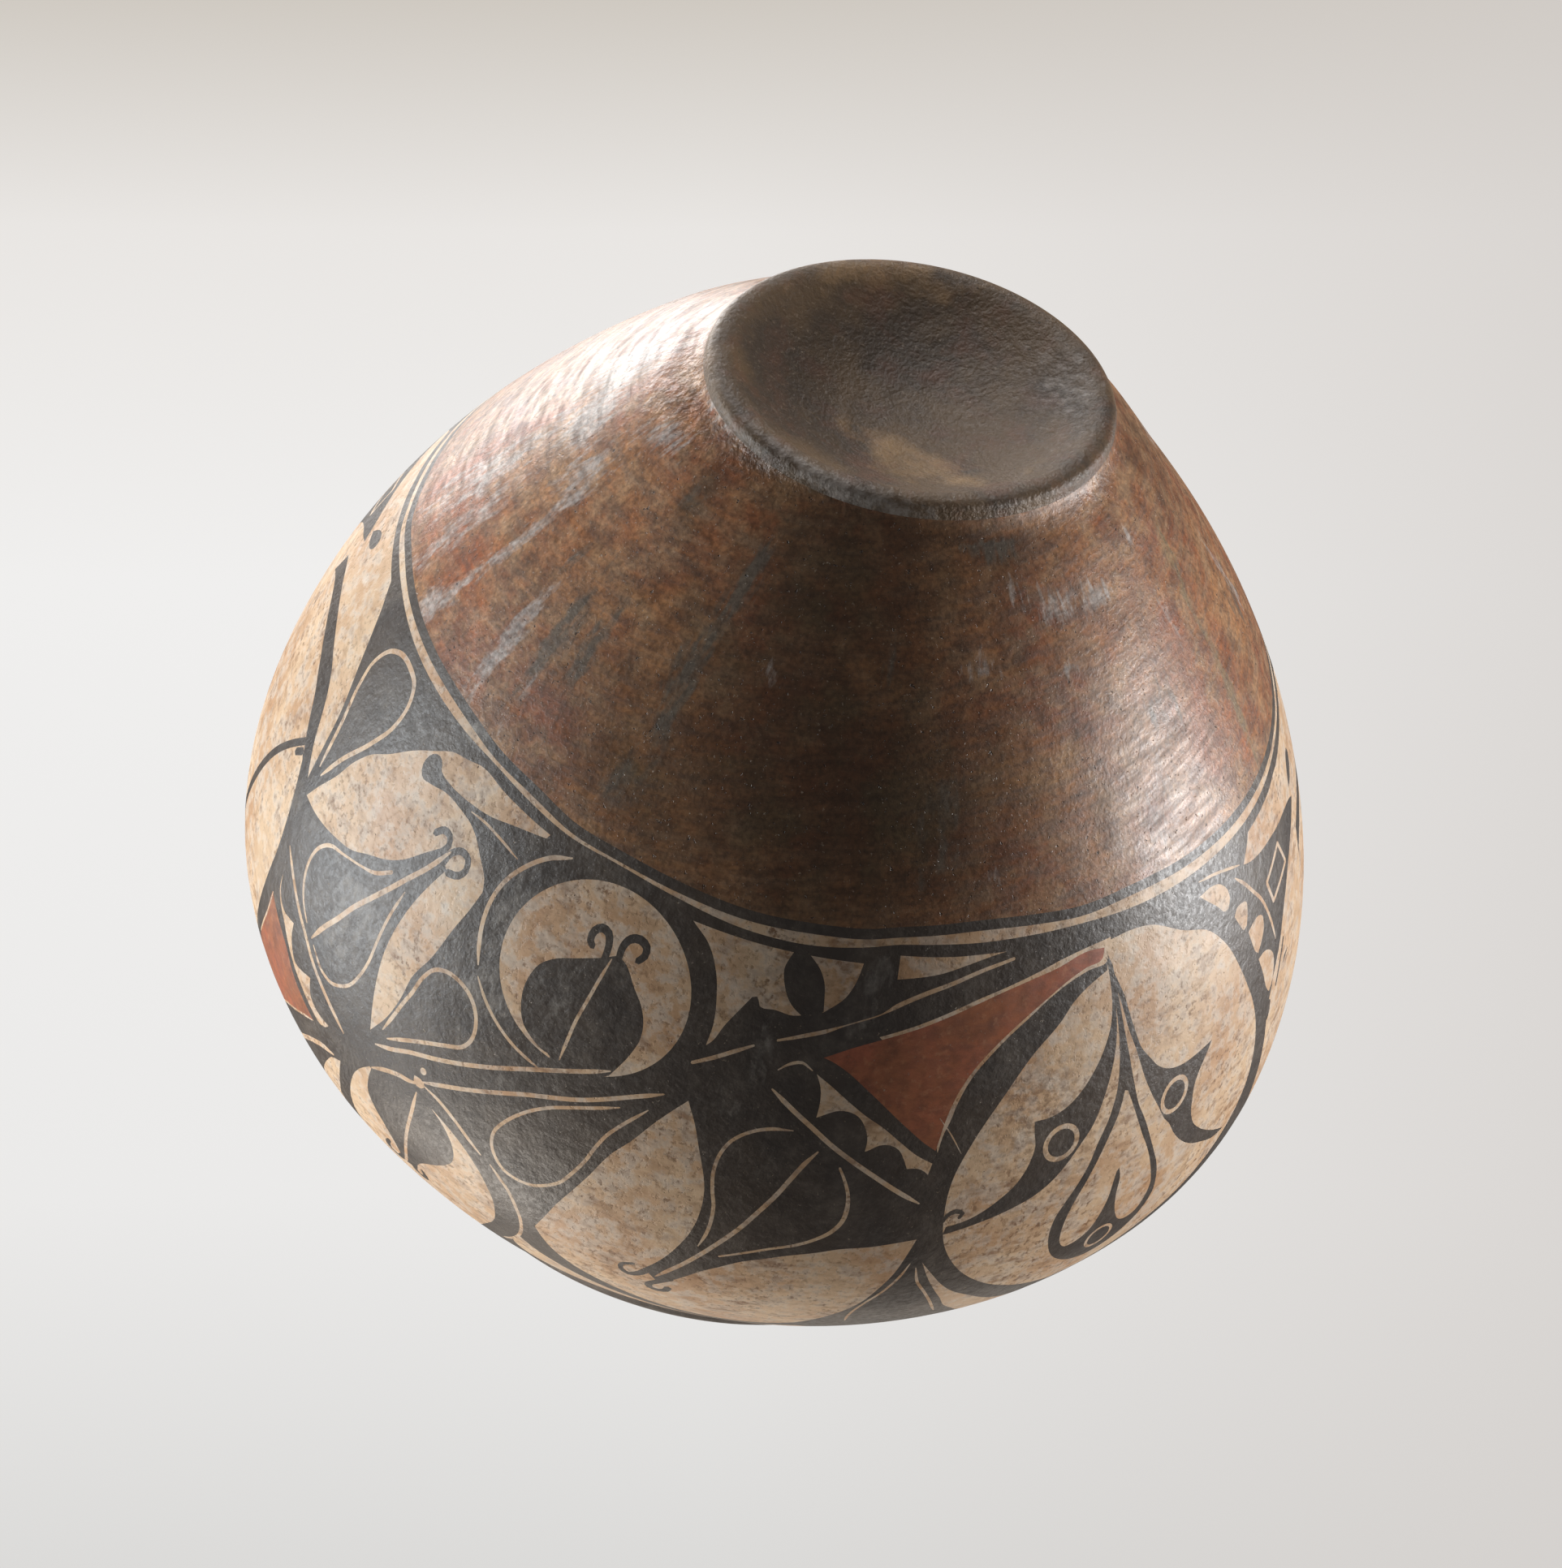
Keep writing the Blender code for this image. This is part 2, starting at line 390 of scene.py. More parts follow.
fill(BLACK,
     [(-130, 15), (-126, 17.5), (-120, 18), (-110, 17.3), (-100, 15.8), (-90, 13), (-75, 9.5)],
     [(-70, 20), (-80, 33), (-88, 35)],
     [(-90, 31), (-95, 27), (-100, 23.5), (-105, 21.5), (-110, 20.8), (-120, 20.8), (-126, 22.5),
      (-130, 23.5)])
disc(BLACK, (-130.3, 19.3), 4.3)
stroke(CREAM, 0.8, [(-107, 18.8), (-100, 18.2), (-93, 18.6), (-83, 20)])
stroke(BLACK, 2.3, [(-106, 37), (-105, 32), (-102, 29.5), (-98.5, 30), (-97.3, 33), (-98.5, 35.5),
       (-103, 37.5)])
stroke(BLACK, 2.3, [(-112, 38), (-108.5, 34), (-107.5, 31), (-109, 28.8), (-112, 28.8), (-114.5, 31.5)])
stroke(CREAM, 1.7, [(-105.5, 32), (-110, 41), (-115, 49), (-118, 54), (-123, 62), (-128, 70), (-132, 78),
       (-136, 85), (-139.5, 92.5)])
stroke(CREAM, [1.3, 1.2, 0.7, 0.8, 1.3, 1.3, 1.3, 1.3, 1, 0.7], [(-121, 51), (-127, 56), (-133, 58.5),
       (-142, 61.7), (-149, 64.5), (-153.5, 70), (-154.5, 76), (-152.8, 82), (-149, 87), (-144, 90.5)])
stroke(CREAM, 1.1, [(-113, 52), (-114, 62), (-114, 72), (-113.8, 78), (-115, 85), (-117.5, 91),
       (-121, 94.5), (-125, 96.8), (-130, 97), (-137.5, 93.5)])
print(len(painted), "painted shapes so far")

# %% [markdown]
# ## The roundel
# A cream disc in a broad black ring carries a small dark leaf with two curls. A thin cream line follows the
# ring on its left, and the lines below it gather the panels towards a point.

# %% Roundel
CURL_WIDTHS = [2.2, 2.4, 2.6, 2.6, 2.6, 2.4, 2]
disc(CREAM, (-43, 37.8), 27.8, stretch=31.8 / 27.8)
fill(BLACK,
     [(-38, 28), (-34.5, 29.8), (-30, 34.5), (-26, 38.5), (-23.5, 43), (-22.8, 48), (-24, 53), (-28, 62)],
     [(-36, 67), (-46, 66.5)],
     [(-46.5, 65), (-50, 64.2), (-54, 62.6), (-58, 60), (-60.5, 56), (-62, 50.5), (-61.8, 46), (-60.5, 42),
      (-57, 38.3), (-50, 34.5), (-46, 32.5), (-43, 31)])
stroke(BLACK, CURL_WIDTHS, [(-42, 31.5), (-42.3, 27), (-44, 23.7), (-46.5, 23.2),
       (-48.5, 25), (-48.5, 28), (-47, 29.3)])
stroke(BLACK, CURL_WIDTHS, [(-37.8, 28.5), (-38, 25.5), (-36.5, 22.3), (-33.5, 21.3),
       (-30.7, 22.5), (-30.3, 25), (-32, 27.3)])
stroke(CREAM, 1.1, [(-39.8, 30), (-41, 37), (-42, 44), (-43, 51), (-43.3, 58), (-43.5, 64.5)])
stroke(CREAM, 1.5, [(-66, 10.5), (-73, 14), (-79, 20), (-83, 27), (-84.3, 34), (-83.5, 41), (-81, 48),
       (-78.5, 53)])
stroke(CREAM, 1, [(-77, 56), (-72, 60.5), (-65, 65), (-58, 68), (-52, 69.5), (-48, 70.3)])
stroke(CREAM, 1.4, [(-28, 60.5), (-35, 64), (-50, 71.5), (-65, 80), (-80, 88), (-88, 92), (-95, 96.5),
       (-101, 99.7)])
stroke(CREAM, 1.4, [(-11, 61), (-18, 64.5), (-33, 72.7), (-50, 80.4), (-60, 86), (-67, 90), (-75, 94.5),
       (-81.5, 98.3)])
stroke(CREAM, 1.1, [(-22, 70), (-28, 73), (-35, 76.5), (-42, 80.5), (-49, 87), (-52.5, 92), (-55, 98),
       (-54.5, 103), (-52, 107), (-49, 109.5), (-45, 110.3), (-40, 109.5), (-36, 107), (-32, 103),
       (-29.5, 98), (-27, 92), (-25, 85), (-23, 80), (-20.5, 76), (-14, 67.5)])
stroke(CREAM, 1.3, [(-100, 93), (-98, 86), (-96.5, 80), (-95, 75), (-93.5, 68), (-91, 63.5), (-87, 61.3),
       (-82, 61), (-77, 62.5), (-73, 66), (-71, 70.5), (-71, 75), (-73, 78.5), (-77, 81), (-83, 84.5),
       (-90, 89), (-97.5, 94.5)])
disc(CREAM, (-82, 94.5), 1.2)
fill(CREAM, [(-84.5, 98), (-82, 97.6), (-80, 99), (-81, 100.5), (-84, 100.3), (-84.5, 98)])
print(len(painted), "painted shapes so far")

# %% [markdown]
# ## Right of the roundel
# A cream field with two points and a black drop hangs from the framing lines. A thin line and a long sliver
# lead from it to the red triangle.

# %% Drop and field
fill(CREAM,
     [(-19.5, 10.3), (10, 10.4), (39, 10.2)],
     [(37.5, 16), (35, 20.5), (31, 24), (29, 25.5)],
     [(26, 27), (23, 27.3)],
     [(20, 28), (14, 27.5), (9, 27.5), (7.5, 25), (6, 25.5)],
     [(3, 30.5), (0, 36), (-2, 41), (-3.5, 42.8)],
     [(-3.2, 36), (-4.5, 29), (-7, 22), (-12, 15), (-19.5, 10.3)])
fill(BLACK,
     [(15.5, 10), (13.6, 15.5), (15, 20), (18.5, 25), (21.5, 27), (25, 28.5), (29, 25.3)],
     [(28.5, 22), (27.3, 17), (25, 13.5), (22, 11), (20, 9.5)])
stroke(CREAM, [1, 1.3, 1.3, 0.7], [(-6, 49), (0, 45.5), (5, 42.3), (10.5, 39)])
stroke(CREAM, [0.7, 1.2, 1.2, 0.4, 0.4, 0.4, 1.4, 1.4, 1.3, 1.2, 0.9], [(17, 36), (25, 33), (31, 30.8),
       (36, 28.6), (40, 27), (48, 23.8), (52, 21.5), (60, 18), (70, 14.7), (80, 11.5), (92, 8.8)])
fill(CREAM,
     [(51, 7), (70, 7), (80, 6.7), (89, 6.5)],
     [(82, 7.8), (75, 9.5), (65, 12), (58, 13), (51, 13.8)])
print(len(painted), "painted shapes so far")

# %% Red triangle, with cream borders
fill(CREAM,
     [(48, 30.6), (60, 26.6), (70, 23), (80, 19.5), (90, 16.8), (100, 14.2), (110, 11.7), (120, 10.2),
      (131, 9.4)],
     [(129, 16), (121, 17), (113, 19), (105, 22.6), (98, 27), (91, 31.8), (85, 37), (80, 42.6), (77.5, 47),
      (75.5, 52), (74.5, 56), (73, 60), (72, 66.2)],
     [(70, 60), (60, 40), (48, 30.6)])
fill(RED,
     [(32, 38.5), (40, 34.7), (50, 31), (60, 27.8), (70, 24.3), (80, 20.8), (90, 17.8), (100, 15.5),
      (108, 14), (121, 11.3), (128, 11.8)],
     [(127, 14.6), (120, 16), (113, 18.2), (105, 22), (97, 26.6), (90, 31.4), (84, 36.4), (79, 42),
      (75.5, 48), (73.4, 54), (71.3, 65.5)],
     [(68, 63.3), (62, 58.5), (47, 46.5), (40, 41.7), (34, 39), (32, 38.5)])
stroke(CREAM, 0.4, [(71, 55), (75, 60), (79.5, 67)])
print(len(painted), "painted shapes so far")

# %% [markdown]
# ## The great oval
# The largest panel is an oval with three dark leaves that all hang from one point. Each has an eye ring,
# and the middle one is a long drop with a cream heart.

# %% Great oval: panel
fill(CREAM,
     [(128.5, 18.8), (120, 22), (115, 25), (110, 30), (100, 38.5), (91, 50), (83, 63), (78.3, 76), (78, 88),
      (80.5, 100), (87, 111), (98, 121.5), (113, 130.5), (130, 137.5)],
     [(140, 135.5), (158, 127), (180, 118.5), (190, 112), (198, 104), (203, 95), (205, 83), (204, 70),
      (199, 55), (195, 47), (187, 33), (178, 24), (165, 18.3), (148, 10.7), (140, 9.8), (130, 10.2)])
print(len(painted), "painted shapes so far")

# %% Great oval: left leaf
fill(BLACK,
     [(128.5, 15), (129.5, 22), (130, 30), (129.3, 36), (127, 42), (123.5, 48), (119, 53.5), (114, 57.5),
      (109, 59.5), (102.5, 60)],
     [(103, 64), (103.8, 68), (103, 73), (99, 81), (95, 85), (85, 91.5), (79.5, 93)],
     [(79, 96)],
     [(88, 93.5), (100, 89.5), (107, 86.3), (112, 82.5), (116, 78), (120, 72.5), (124, 67), (127, 60),
      (129, 54), (131.5, 42), (131.5, 30), (129.5, 16)])
stroke(BLACK, [1.2, 1.6, 1.8, 1.6, 1.2], [(78, 91), (79, 88.7), (81.5, 87.3), (83.7, 88.5), (83, 90)])
print(len(painted), "painted shapes so far")

# %% Great oval: middle drop
fill(BLACK,
     [(129, 14), (131.5, 30), (133, 50), (132.5, 58), (130, 67), (126.5, 75), (125, 80), (121.5, 87.5),
      (118.5, 93), (116.3, 98), (115.8, 104), (117, 110), (120, 116), (125, 121), (131, 124.3),
      (137.5, 125.5), (144, 123.8), (150, 119.5), (154.5, 114), (156.8, 107), (156.3, 101), (154.5, 94),
      (151.5, 87), (148.5, 80), (145.5, 73), (142, 66), (139.5, 58), (137.5, 50), (134.3, 36), (131, 18)])
fill(CREAM,
     [(135.8, 59), (134, 66), (131, 73), (128, 80), (125, 87), (122, 94), (120.5, 100), (120.3, 106),
      (121.5, 111), (124, 113.8), (128, 113), (131.5, 110), (134, 104), (135.5, 98), (136, 92), (136.5, 88)],
     [(137.3, 87)],
     [(138.3, 90), (138.5, 97), (139.5, 103), (141.5, 108), (144, 111.5), (147.5, 113), (151, 112),
      (153, 108), (154, 102), (152.5, 96), (150.5, 90), (148, 84), (145, 78), (142, 71), (139, 64),
      (137, 59.5)])
print(len(painted), "painted shapes so far")

# %% Great oval: right leaf
fill(BLACK,
     [(128.5, 15), (130, 18), (133, 23.5), (135.5, 29), (137, 34), (139.5, 41), (142, 47), (146, 52),
      (150, 56.5), (155, 59.5), (162, 61), (168, 60.8), (176, 60)],
     [(173, 64), (169.5, 68.5), (167.8, 73), (167.7, 76), (168, 82), (170, 87), (174, 91.5), (182, 98),
      (193, 105)],
     [(186, 104), (178, 100), (171, 96), (165, 91), (160, 85), (157, 80), (154.5, 77), (151, 71),
      (147.5, 65), (144, 58), (141.3, 51), (139, 45), (136.5, 39), (135, 34), (131, 22)])
EYE_RINGS = [((113, 69.5), 6.4, 1.7), ((137.8, 116), 5.2, 1.1), ((158.3, 70.3), 6.4, 1.6)]
for centre, radius, width in EYE_RINGS:
    disc(CREAM, centre, radius)
    disc(BLACK, centre, radius - width)
print(len(painted), "painted shapes so far")

# %% [markdown]
# ## The right edge
# Small cream petals follow the oval's black outline, and a dark wedge with a lozenge drawn in it points
# away round the jar.

# %% Petals, wedge and lozenge
fill(CREAM,
     [(214, 9), (240, 9), (253, 9), (253, 60), (214.4, 70), (214, 85), (214.4, 92)],
     [(216, 60), (208, 40), (196, 28), (214, 9)])
fill(BLACK,
     [(187, 10), (195, 12), (203, 14.8), (210, 17.3), (220, 19.3), (230, 20.5), (240, 22), (250, 23.3),
      (260, 26), (264, 28)],
     [(258, 31), (250, 34.5), (243, 38.5), (236, 44), (231, 49), (227, 54.5), (222, 60), (218, 64)],
     [(214, 77), (208, 70), (190, 30), (187, 10)])
fill(CREAM,
     [(176, 12.3), (183, 12.2), (189, 14), (192.5, 17.5), (193, 20.5), (191, 23)],
     [(189, 23), (185, 19.5), (180, 15.5), (176, 12.3)])
fill(CREAM,
     [(194, 27.5), (196, 25.7), (200, 25.8), (203, 27), (202.5, 31), (201, 34)],
     [(199, 34.5), (196.5, 31.5), (194, 27.5)])
fill(CREAM,
     [(201.5, 36.8), (205, 36), (210, 36), (213, 38), (213, 42), (210.5, 45), (207, 47.5)],
     [(205.3, 46), (203, 41), (201.5, 36.8)])
fill(CREAM,
     [(207, 49.7), (212, 50), (216.5, 52.5), (219.5, 57), (219, 61), (216.5, 65.5), (214.5, 66.5)],
     [(212.5, 64), (210, 57), (207, 49.7)])
fill(CREAM, [(215, 70), (218, 66), (220.5, 71), (217, 71.5)])
stroke(CREAM, 1.3, [(198.5, 16.7), (204, 21.5), (209, 27), (213.5, 32), (217, 38), (219.5, 44), (222, 52)])
LOZENGE = [(220, 30.5), (235.5, 26), (240.3, 35.8), (223.5, 39.3)]
for start, end in zip(LOZENGE, LOZENGE[1:] + LOZENGE[:1]):
    stroke(CREAM, [1.5, 1.5], [start, end])
fill(BLACK, [(186, 7), (192, 9), (200, 10.2), (203.5, 11.2), (203, 12.3), (197, 11.8), (190, 10), (183, 8)])
stroke(CREAM, 0.9, [(177, 8), (186, 9.5), (196, 12.2), (203, 14.5)])
stroke(CREAM, 1.2, [(229, 53), (222, 62)])
stroke(BLACK, 1.4, [(229.5, 57), (221, 69)])
print(len(painted), "painted shapes so far")

# %% [markdown]
# ## The scalloped strip and the lower leaf
# Below the red triangle runs a strip with scallops, and under it a black field with a leaf drawn only in
# line.

# %% Scallops and lower leaf
stroke(CREAM, 1, [(19.3, 44.5), (22, 42.3), (26, 41), (29.5, 42.8)])
fill(CREAM,
     [(31, 43.6), (36, 46.5), (42, 50.5), (48, 54.5), (54, 58), (60, 62.5), (66, 67), (71, 69.7)],
     [(70.3, 73.5)],
     [(69, 72.3), (66.5, 71.2), (63.5, 71.3)],
     [(62, 68), (60, 65), (57, 63.5), (54, 63.7), (51, 65.5), (50, 66)],
     [(50, 62), (48.5, 58), (46, 55), (42.5, 53.7), (39, 54), (36, 55.5), (33.7, 56.8)],
     [(33.8, 52), (33, 47.5), (31, 43.6)])
stroke(CREAM, 1.5, [(19, 50.5), (27, 56), (33, 60), (40, 65), (47, 69.5), (55, 74.5), (62, 79),
       (69.5, 83.5)])
fill(CREAM,
     [(-3.7, 60.5), (-8, 66), (-12, 72), (-16, 79), (-20, 85), (-25, 97), (-28, 104), (-31, 111),
      (-34, 120), (-36.5, 127.5)],
     [(-34, 132), (-30, 138), (-25, 143.5), (-13, 152.5), (0, 161), (14, 168.5), (28, 171), (40, 166),
      (49, 155)],
     [(54, 143), (58, 135), (62, 127), (65, 119), (68, 111), (70, 103), (71.5, 97)],
     [(65, 98.3), (58, 99.8), (50, 101), (43, 103.3), (36, 105.5), (29, 108.5), (23, 111.5), (18, 115.5),
      (13, 120), (9.5, 124.5), (3, 133)],
     [(-2, 126.5)],
     [(0, 122), (2.5, 117), (5, 111), (7, 105), (8.2, 98), (8.3, 92), (7.5, 86), (5.5, 80), (3, 74),
      (0, 67), (-3.7, 60.5)])
stroke(CREAM, 1.1, [(28, 62), (22, 62.6), (16, 65), (11.5, 69), (9.3, 74), (8.8, 80), (9.8, 86), (11.5, 92),
       (12, 98), (11.7, 103), (10.5, 108.5)])
stroke(CREAM, 1.5, [(36.5, 67.5), (33.5, 72), (30.5, 78), (28, 83.5), (24, 91), (20, 98.5), (16, 105),
       (12, 111.5), (8, 118), (4.5, 123.5), (1.5, 129)])
stroke(CREAM, [0.7, 0.9, 1.1, 1.4, 1.4, 1.4, 1.2, 1.1, 0.9, 0.9, 0.7], [(43.8, 72), (46, 76), (48, 81),
       (48.7, 86), (48.2, 90.5), (46, 94.5), (42, 98), (37, 101), (31, 103.5), (24, 107), (17, 110.8)])
stroke(BLACK, [2.6, 2.6, 2.4, 2.2, 1.8, 1.5, 1.2], [(2, 121), (-1.5, 127), (-4, 131), (-6.5, 132.7),
       (-8.7, 131), (-9, 128), (-5.5, 125.3)])
stroke(BLACK, 2.4, [(6, 128), (2, 133), (0.2, 136), (0.8, 138.8), (3.3, 139.6), (5.5, 138), (6, 135)])
print(len(painted), "painted shapes so far")

# %% Stem below the oval
stroke(CREAM, 0.9, [(71.8, 107), (70, 113), (67, 120), (63.5, 127), (61.8, 133), (61.7, 140), (63, 147)])
stroke(CREAM, 0.9, [(74, 109), (76, 115.5), (80, 122), (84, 129), (87.5, 136), (90, 141)])
fill(CREAM,
     [(75.5, 107), (80, 113), (85, 119.5), (90, 124.5), (96, 129), (110, 140), (128, 149), (150, 152),
      (172, 146), (190, 136), (202, 124)],
     [(196, 142), (180, 158), (158, 168), (135, 168), (115, 160), (102, 150), (97, 143), (91, 135.5),
      (87, 128), (83, 121.5), (79, 114.5), (75.5, 107)])
print(len(painted), "painted shapes so far")

# %% [markdown]
# ## The lower left
# Another leaf hangs between two cream panels, with a scalloped strip and a second red triangle at the far
# left.

# %% Hanging leaf
SHORT_CURL_WIDTHS = [2.5, 2.5, 2.5, 2.2, 1.6]
fill(CREAM,
     [(-80, 104), (-76, 104.5), (-70, 106.5), (-64, 109.5), (-60, 112.5), (-56, 116.5), (-53, 121),
      (-50.7, 126), (-50, 131), (-50.2, 137), (-51.5, 142), (-54, 148), (-57, 155), (-60, 163), (-65, 174),
      (-74, 184), (-86, 188), (-98, 184), (-107, 172), (-111, 158), (-110, 147)],
     [(-109.5, 138), (-109, 130), (-108, 123), (-106.5, 117), (-104, 112.5), (-101, 109)])
fill(BLACK,
     [(-100, 108.5), (-95, 105.5), (-90, 103), (-84, 102), (-76, 104.5), (-71, 107.5), (-67, 112),
      (-65.5, 116), (-65.8, 120), (-68, 123.5), (-72, 128), (-77, 133), (-80, 138), (-81.5, 144)],
     [(-89, 147)],
     [(-88.5, 139), (-90, 133), (-93, 128), (-97, 123.5), (-100, 119), (-100.5, 114), (-100, 108.5)])
stroke(BLACK, SHORT_CURL_WIDTHS, [(-88, 143), (-91, 147.5), (-94.3, 147), (-94.3, 142), (-92.2, 137.5)])
stroke(BLACK, SHORT_CURL_WIDTHS, [(-83.5, 144), (-82, 149), (-79.5, 148), (-78.5, 144), (-79, 141)])
stroke(CREAM, 1.3, [(-82.2, 103), (-82.3, 112), (-83, 120), (-83.7, 128), (-84.7, 136), (-86, 142),
       (-89, 150)])
stroke(CREAM, 1.5, [(-100, 108.5), (-95, 105), (-90, 102.5), (-85, 101), (-82, 99.5)])
stroke(CREAM, 1.2, [(-80, 99), (-74, 100), (-68, 102.5), (-62, 106), (-57, 109)])
stroke(CREAM, 1.2, [(-53.5, 110.5), (-50, 113.5), (-46, 117.5), (-43.5, 122), (-41.5, 127), (-40.8, 132),
       (-41.3, 138), (-43, 144), (-46, 151), (-50, 158)])
print(len(painted), "painted shapes so far")

# %% Scalloped strip and red triangle of the far left
fill(CREAM,
     [(-164.5, 90), (-163, 94.5), (-160, 97.3), (-157, 98.3), (-153, 97.5), (-150, 96.7)],
     [(-149, 101), (-147, 104), (-144, 106.5), (-140, 106), (-136.5, 104.7), (-134.3, 104)],
     [(-133.5, 107), (-132, 109.5), (-129, 111), (-125, 111.5), (-121, 111)],
     [(-121.5, 112), (-125, 114.3), (-130, 113.5), (-137, 111), (-145, 107.5), (-151, 104), (-156, 100.5),
      (-160, 98.5), (-163.5, 95), (-164.5, 90)])
stroke(CREAM, 1.5, [(-167, 81.5), (-160, 85.3), (-150, 90.7), (-142, 94.5), (-135, 98.5), (-128, 101.5),
       (-120, 104.7), (-114, 107.3)])
fill(RED,
     [(-167, 100), (-160, 103), (-150, 107), (-143, 111.5), (-137, 114), (-129, 116.7)],
     [(-135, 120), (-141, 124), (-148, 129), (-153, 134.5), (-160, 140), (-168, 147), (-176, 156)],
     [(-177.5, 145), (-176, 133), (-173, 125), (-170, 116), (-167.5, 108), (-167, 100)])
stroke(CREAM, 0.8, [(-129, 116.8), (-135, 120.3), (-141, 124.4), (-148, 129.4), (-158, 139.5),
       (-174, 154.5)])
stroke(CREAM, [0.5, 0.8, 0.8, 0.6], [(-166.5, 100), (-167, 108), (-169.5, 116), (-172, 122)])
stroke(CREAM, 1.9, [(-117, 119.8), (-123, 122), (-129, 126), (-135, 131.5), (-140, 137), (-150, 148)])
fill(CREAM,
     [(-113.5, 119), (-118, 122), (-121, 127), (-124, 133), (-128, 142), (-134, 155), (-144, 168),
      (-158, 179), (-176, 186), (-192, 188)],
     [(-172, 190.5), (-154, 187), (-138, 178), (-126, 164), (-120, 154), (-118, 146), (-117, 140),
      (-115, 133), (-114, 126), (-113.5, 119)])
print(len(painted), "painted shapes")

# %% [markdown]
# ## The shoulder
# The photograph never sees the shoulder and the neck. They are finished in keeping and plainer: one more
# cream panel, two thin framing lines, and a black line at the mouth, of which only a worn scrap shows in
# the photograph.

# %% Shoulder lines
RIM_LINE_START = 214.0
RING_STEPS = 144
fill(CREAM,
     [(-42, 141), (-36, 148), (-27, 155), (-14, 163.5), (0, 171), (14, 177), (28, 179), (42, 175),
      (52, 166)],
     [(58, 172), (56, 180), (44, 187), (20, 190), (-8, 188), (-30, 178), (-43, 162), (-45, 150), (-42, 141)])


def wavy_ring(along, sway):
    """A freehand line round the jar that rises and falls by a little."""
    ring = []
    for step in range(RING_STEPS + 1):
        around = gap_top[0][0] + TURN_MM * step / RING_STEPS
        turn_angle = 2 * pi * step / RING_STEPS
        ring.append((around, along + sway * (sin(2 * turn_angle + 0.6) + 0.5 * sin(5 * turn_angle))))
    return ring


hoop(CREAM, wavy_ring(GROUND_END, 0.7), wavy_ring(BAND_END + PAST_BAND, 0))
hoop(BLACK, wavy_ring(198.5, 0.6), wavy_ring(200.5, 0.5))
hoop(BLACK, wavy_ring(204.0, 0.5), wavy_ring(206.5, 0.6))
hoop(BLACK, wavy_ring(RIM_LINE_START, 0.8), wavy_ring(BAND_END + PAST_BAND, 0))
print(len(painted), "painted shapes with the shoulder")

# %% [markdown]
# ## From paint to mesh
# The painted wall has to be cut along every edge of the picture, and no operator does that on a curved
# wall. So the wall is laid out flat as a broad ring, which has no seam, and cut there by a constrained
# Delaunay triangulation through the outlines and a regular scatter of points. Each triangle takes the
# colour that was painted last over its middle, and the ring is then folded back up onto the jar.

# %% Cut the painted wall
SPIN_STEPS = 288
FLAT_RING_START = 100.0
GRID_STEP = 4.4
MERGE_MM = 0.05
RING_SLACK = 0.01


def to_flat(around, along):
    """From the painter's ruler to the flat ring."""
    r = FLAT_RING_START + along
    return (r * cos(angle_at(around)), r * sin(angle_at(around)))


def from_flat(x, y):
    """From the flat ring back to the painter's ruler."""
    angle = atan2(y, x)
    around = (-pi / 2 - angle) * BODY_RADIUS * 1000
    return (around + TURN_MM if around < -TURN_MM / 2 else around, hypot(x, y) - FLAT_RING_START)


flat_points = []
flat_edges = []


def add_closed_line(points):
    first = len(flat_points)
    flat_points.extend(points)
    count = len(points)
    flat_edges.extend((first + i, first + (i + 1) % count) for i in range(count))


for limit in (BAND_START, BAND_END):
    add_closed_line([to_flat(TURN_MM * step / SPIN_STEPS, limit) for step in range(SPIN_STEPS)])
for colour, outline in painted:
    clipped = np.clip(outline[:, 1], BAND_START, BAND_END)
    add_closed_line([to_flat(around, along) for around, along in zip(outline[:, 0], clipped)])
rows = round((BAND_END - BAND_START) / GRID_STEP)
for row in range(1, rows):
    along = BAND_START + (BAND_END - BAND_START) * row / rows
    spots = round(2 * pi * outer_radius(height_at(along)) * 1000 / GRID_STEP)
    for spot in range(spots):
        flat_points.append(to_flat(TURN_MM * (spot + row % 2 / 2) / spots, along))
flat = delaunay_2d_cdt([Vector(point) for point in flat_points], flat_edges, [], 0, MERGE_MM, False)
flat_vertices, flat_faces = flat[0], flat[2]
print("flat ring:", len(flat_vertices), "points", len(flat_faces), "triangles")

# %% Choose each triangle's colour
ring_vertices = np.array([tuple(point) for point in flat_vertices])
ring_faces = np.array(flat_faces)
middles = ring_vertices[ring_faces].mean(axis=1)
reach = np.hypot(*middles.T)
ring_faces = ring_faces[reach > FLAT_RING_START + BAND_START + RING_SLACK]
middles = ring_vertices[ring_faces].mean(axis=1)
middles = np.array([from_flat(x, y) for x, y in middles])
colours = np.full(len(ring_faces), CREAM)


def covers(outline, spots):
    """Which of the spots lie inside a closed outline."""
    x, y = spots.T
    turns = np.zeros(len(spots), int)
    for (x1, y1), (x2, y2) in zip(outline, np.roll(outline, -1, axis=0)):
        side = (x2 - x1) * (y - y1) - (x - x1) * (y2 - y1)
        turns += (y1 <= y) & (y2 > y) & (side > 0)
        turns -= (y1 > y) & (y2 <= y) & (side < 0)
    return turns != 0


for colour, outline in painted:
    low = outline.min(axis=0)
    high = outline.max(axis=0)
    for lap in (-1, 0, 1):
        shifted = middles + (lap * TURN_MM, 0)
        near = np.flatnonzero(np.all((shifted > low) & (shifted < high), axis=1))
        if len(near):
            colours[near[covers(outline, shifted[near])]] = colour
print("triangles by colour:", np.bincount(colours).tolist())

# %% [markdown]
# ## The plain clay
# The rest of the jar is turned: the half section is drawn as a chain of edges and spun once round Z. One
# chain runs from the middle of the inner floor up and over the lip to the painted wall, the other from the
# painted wall down over the foot and into the dish.

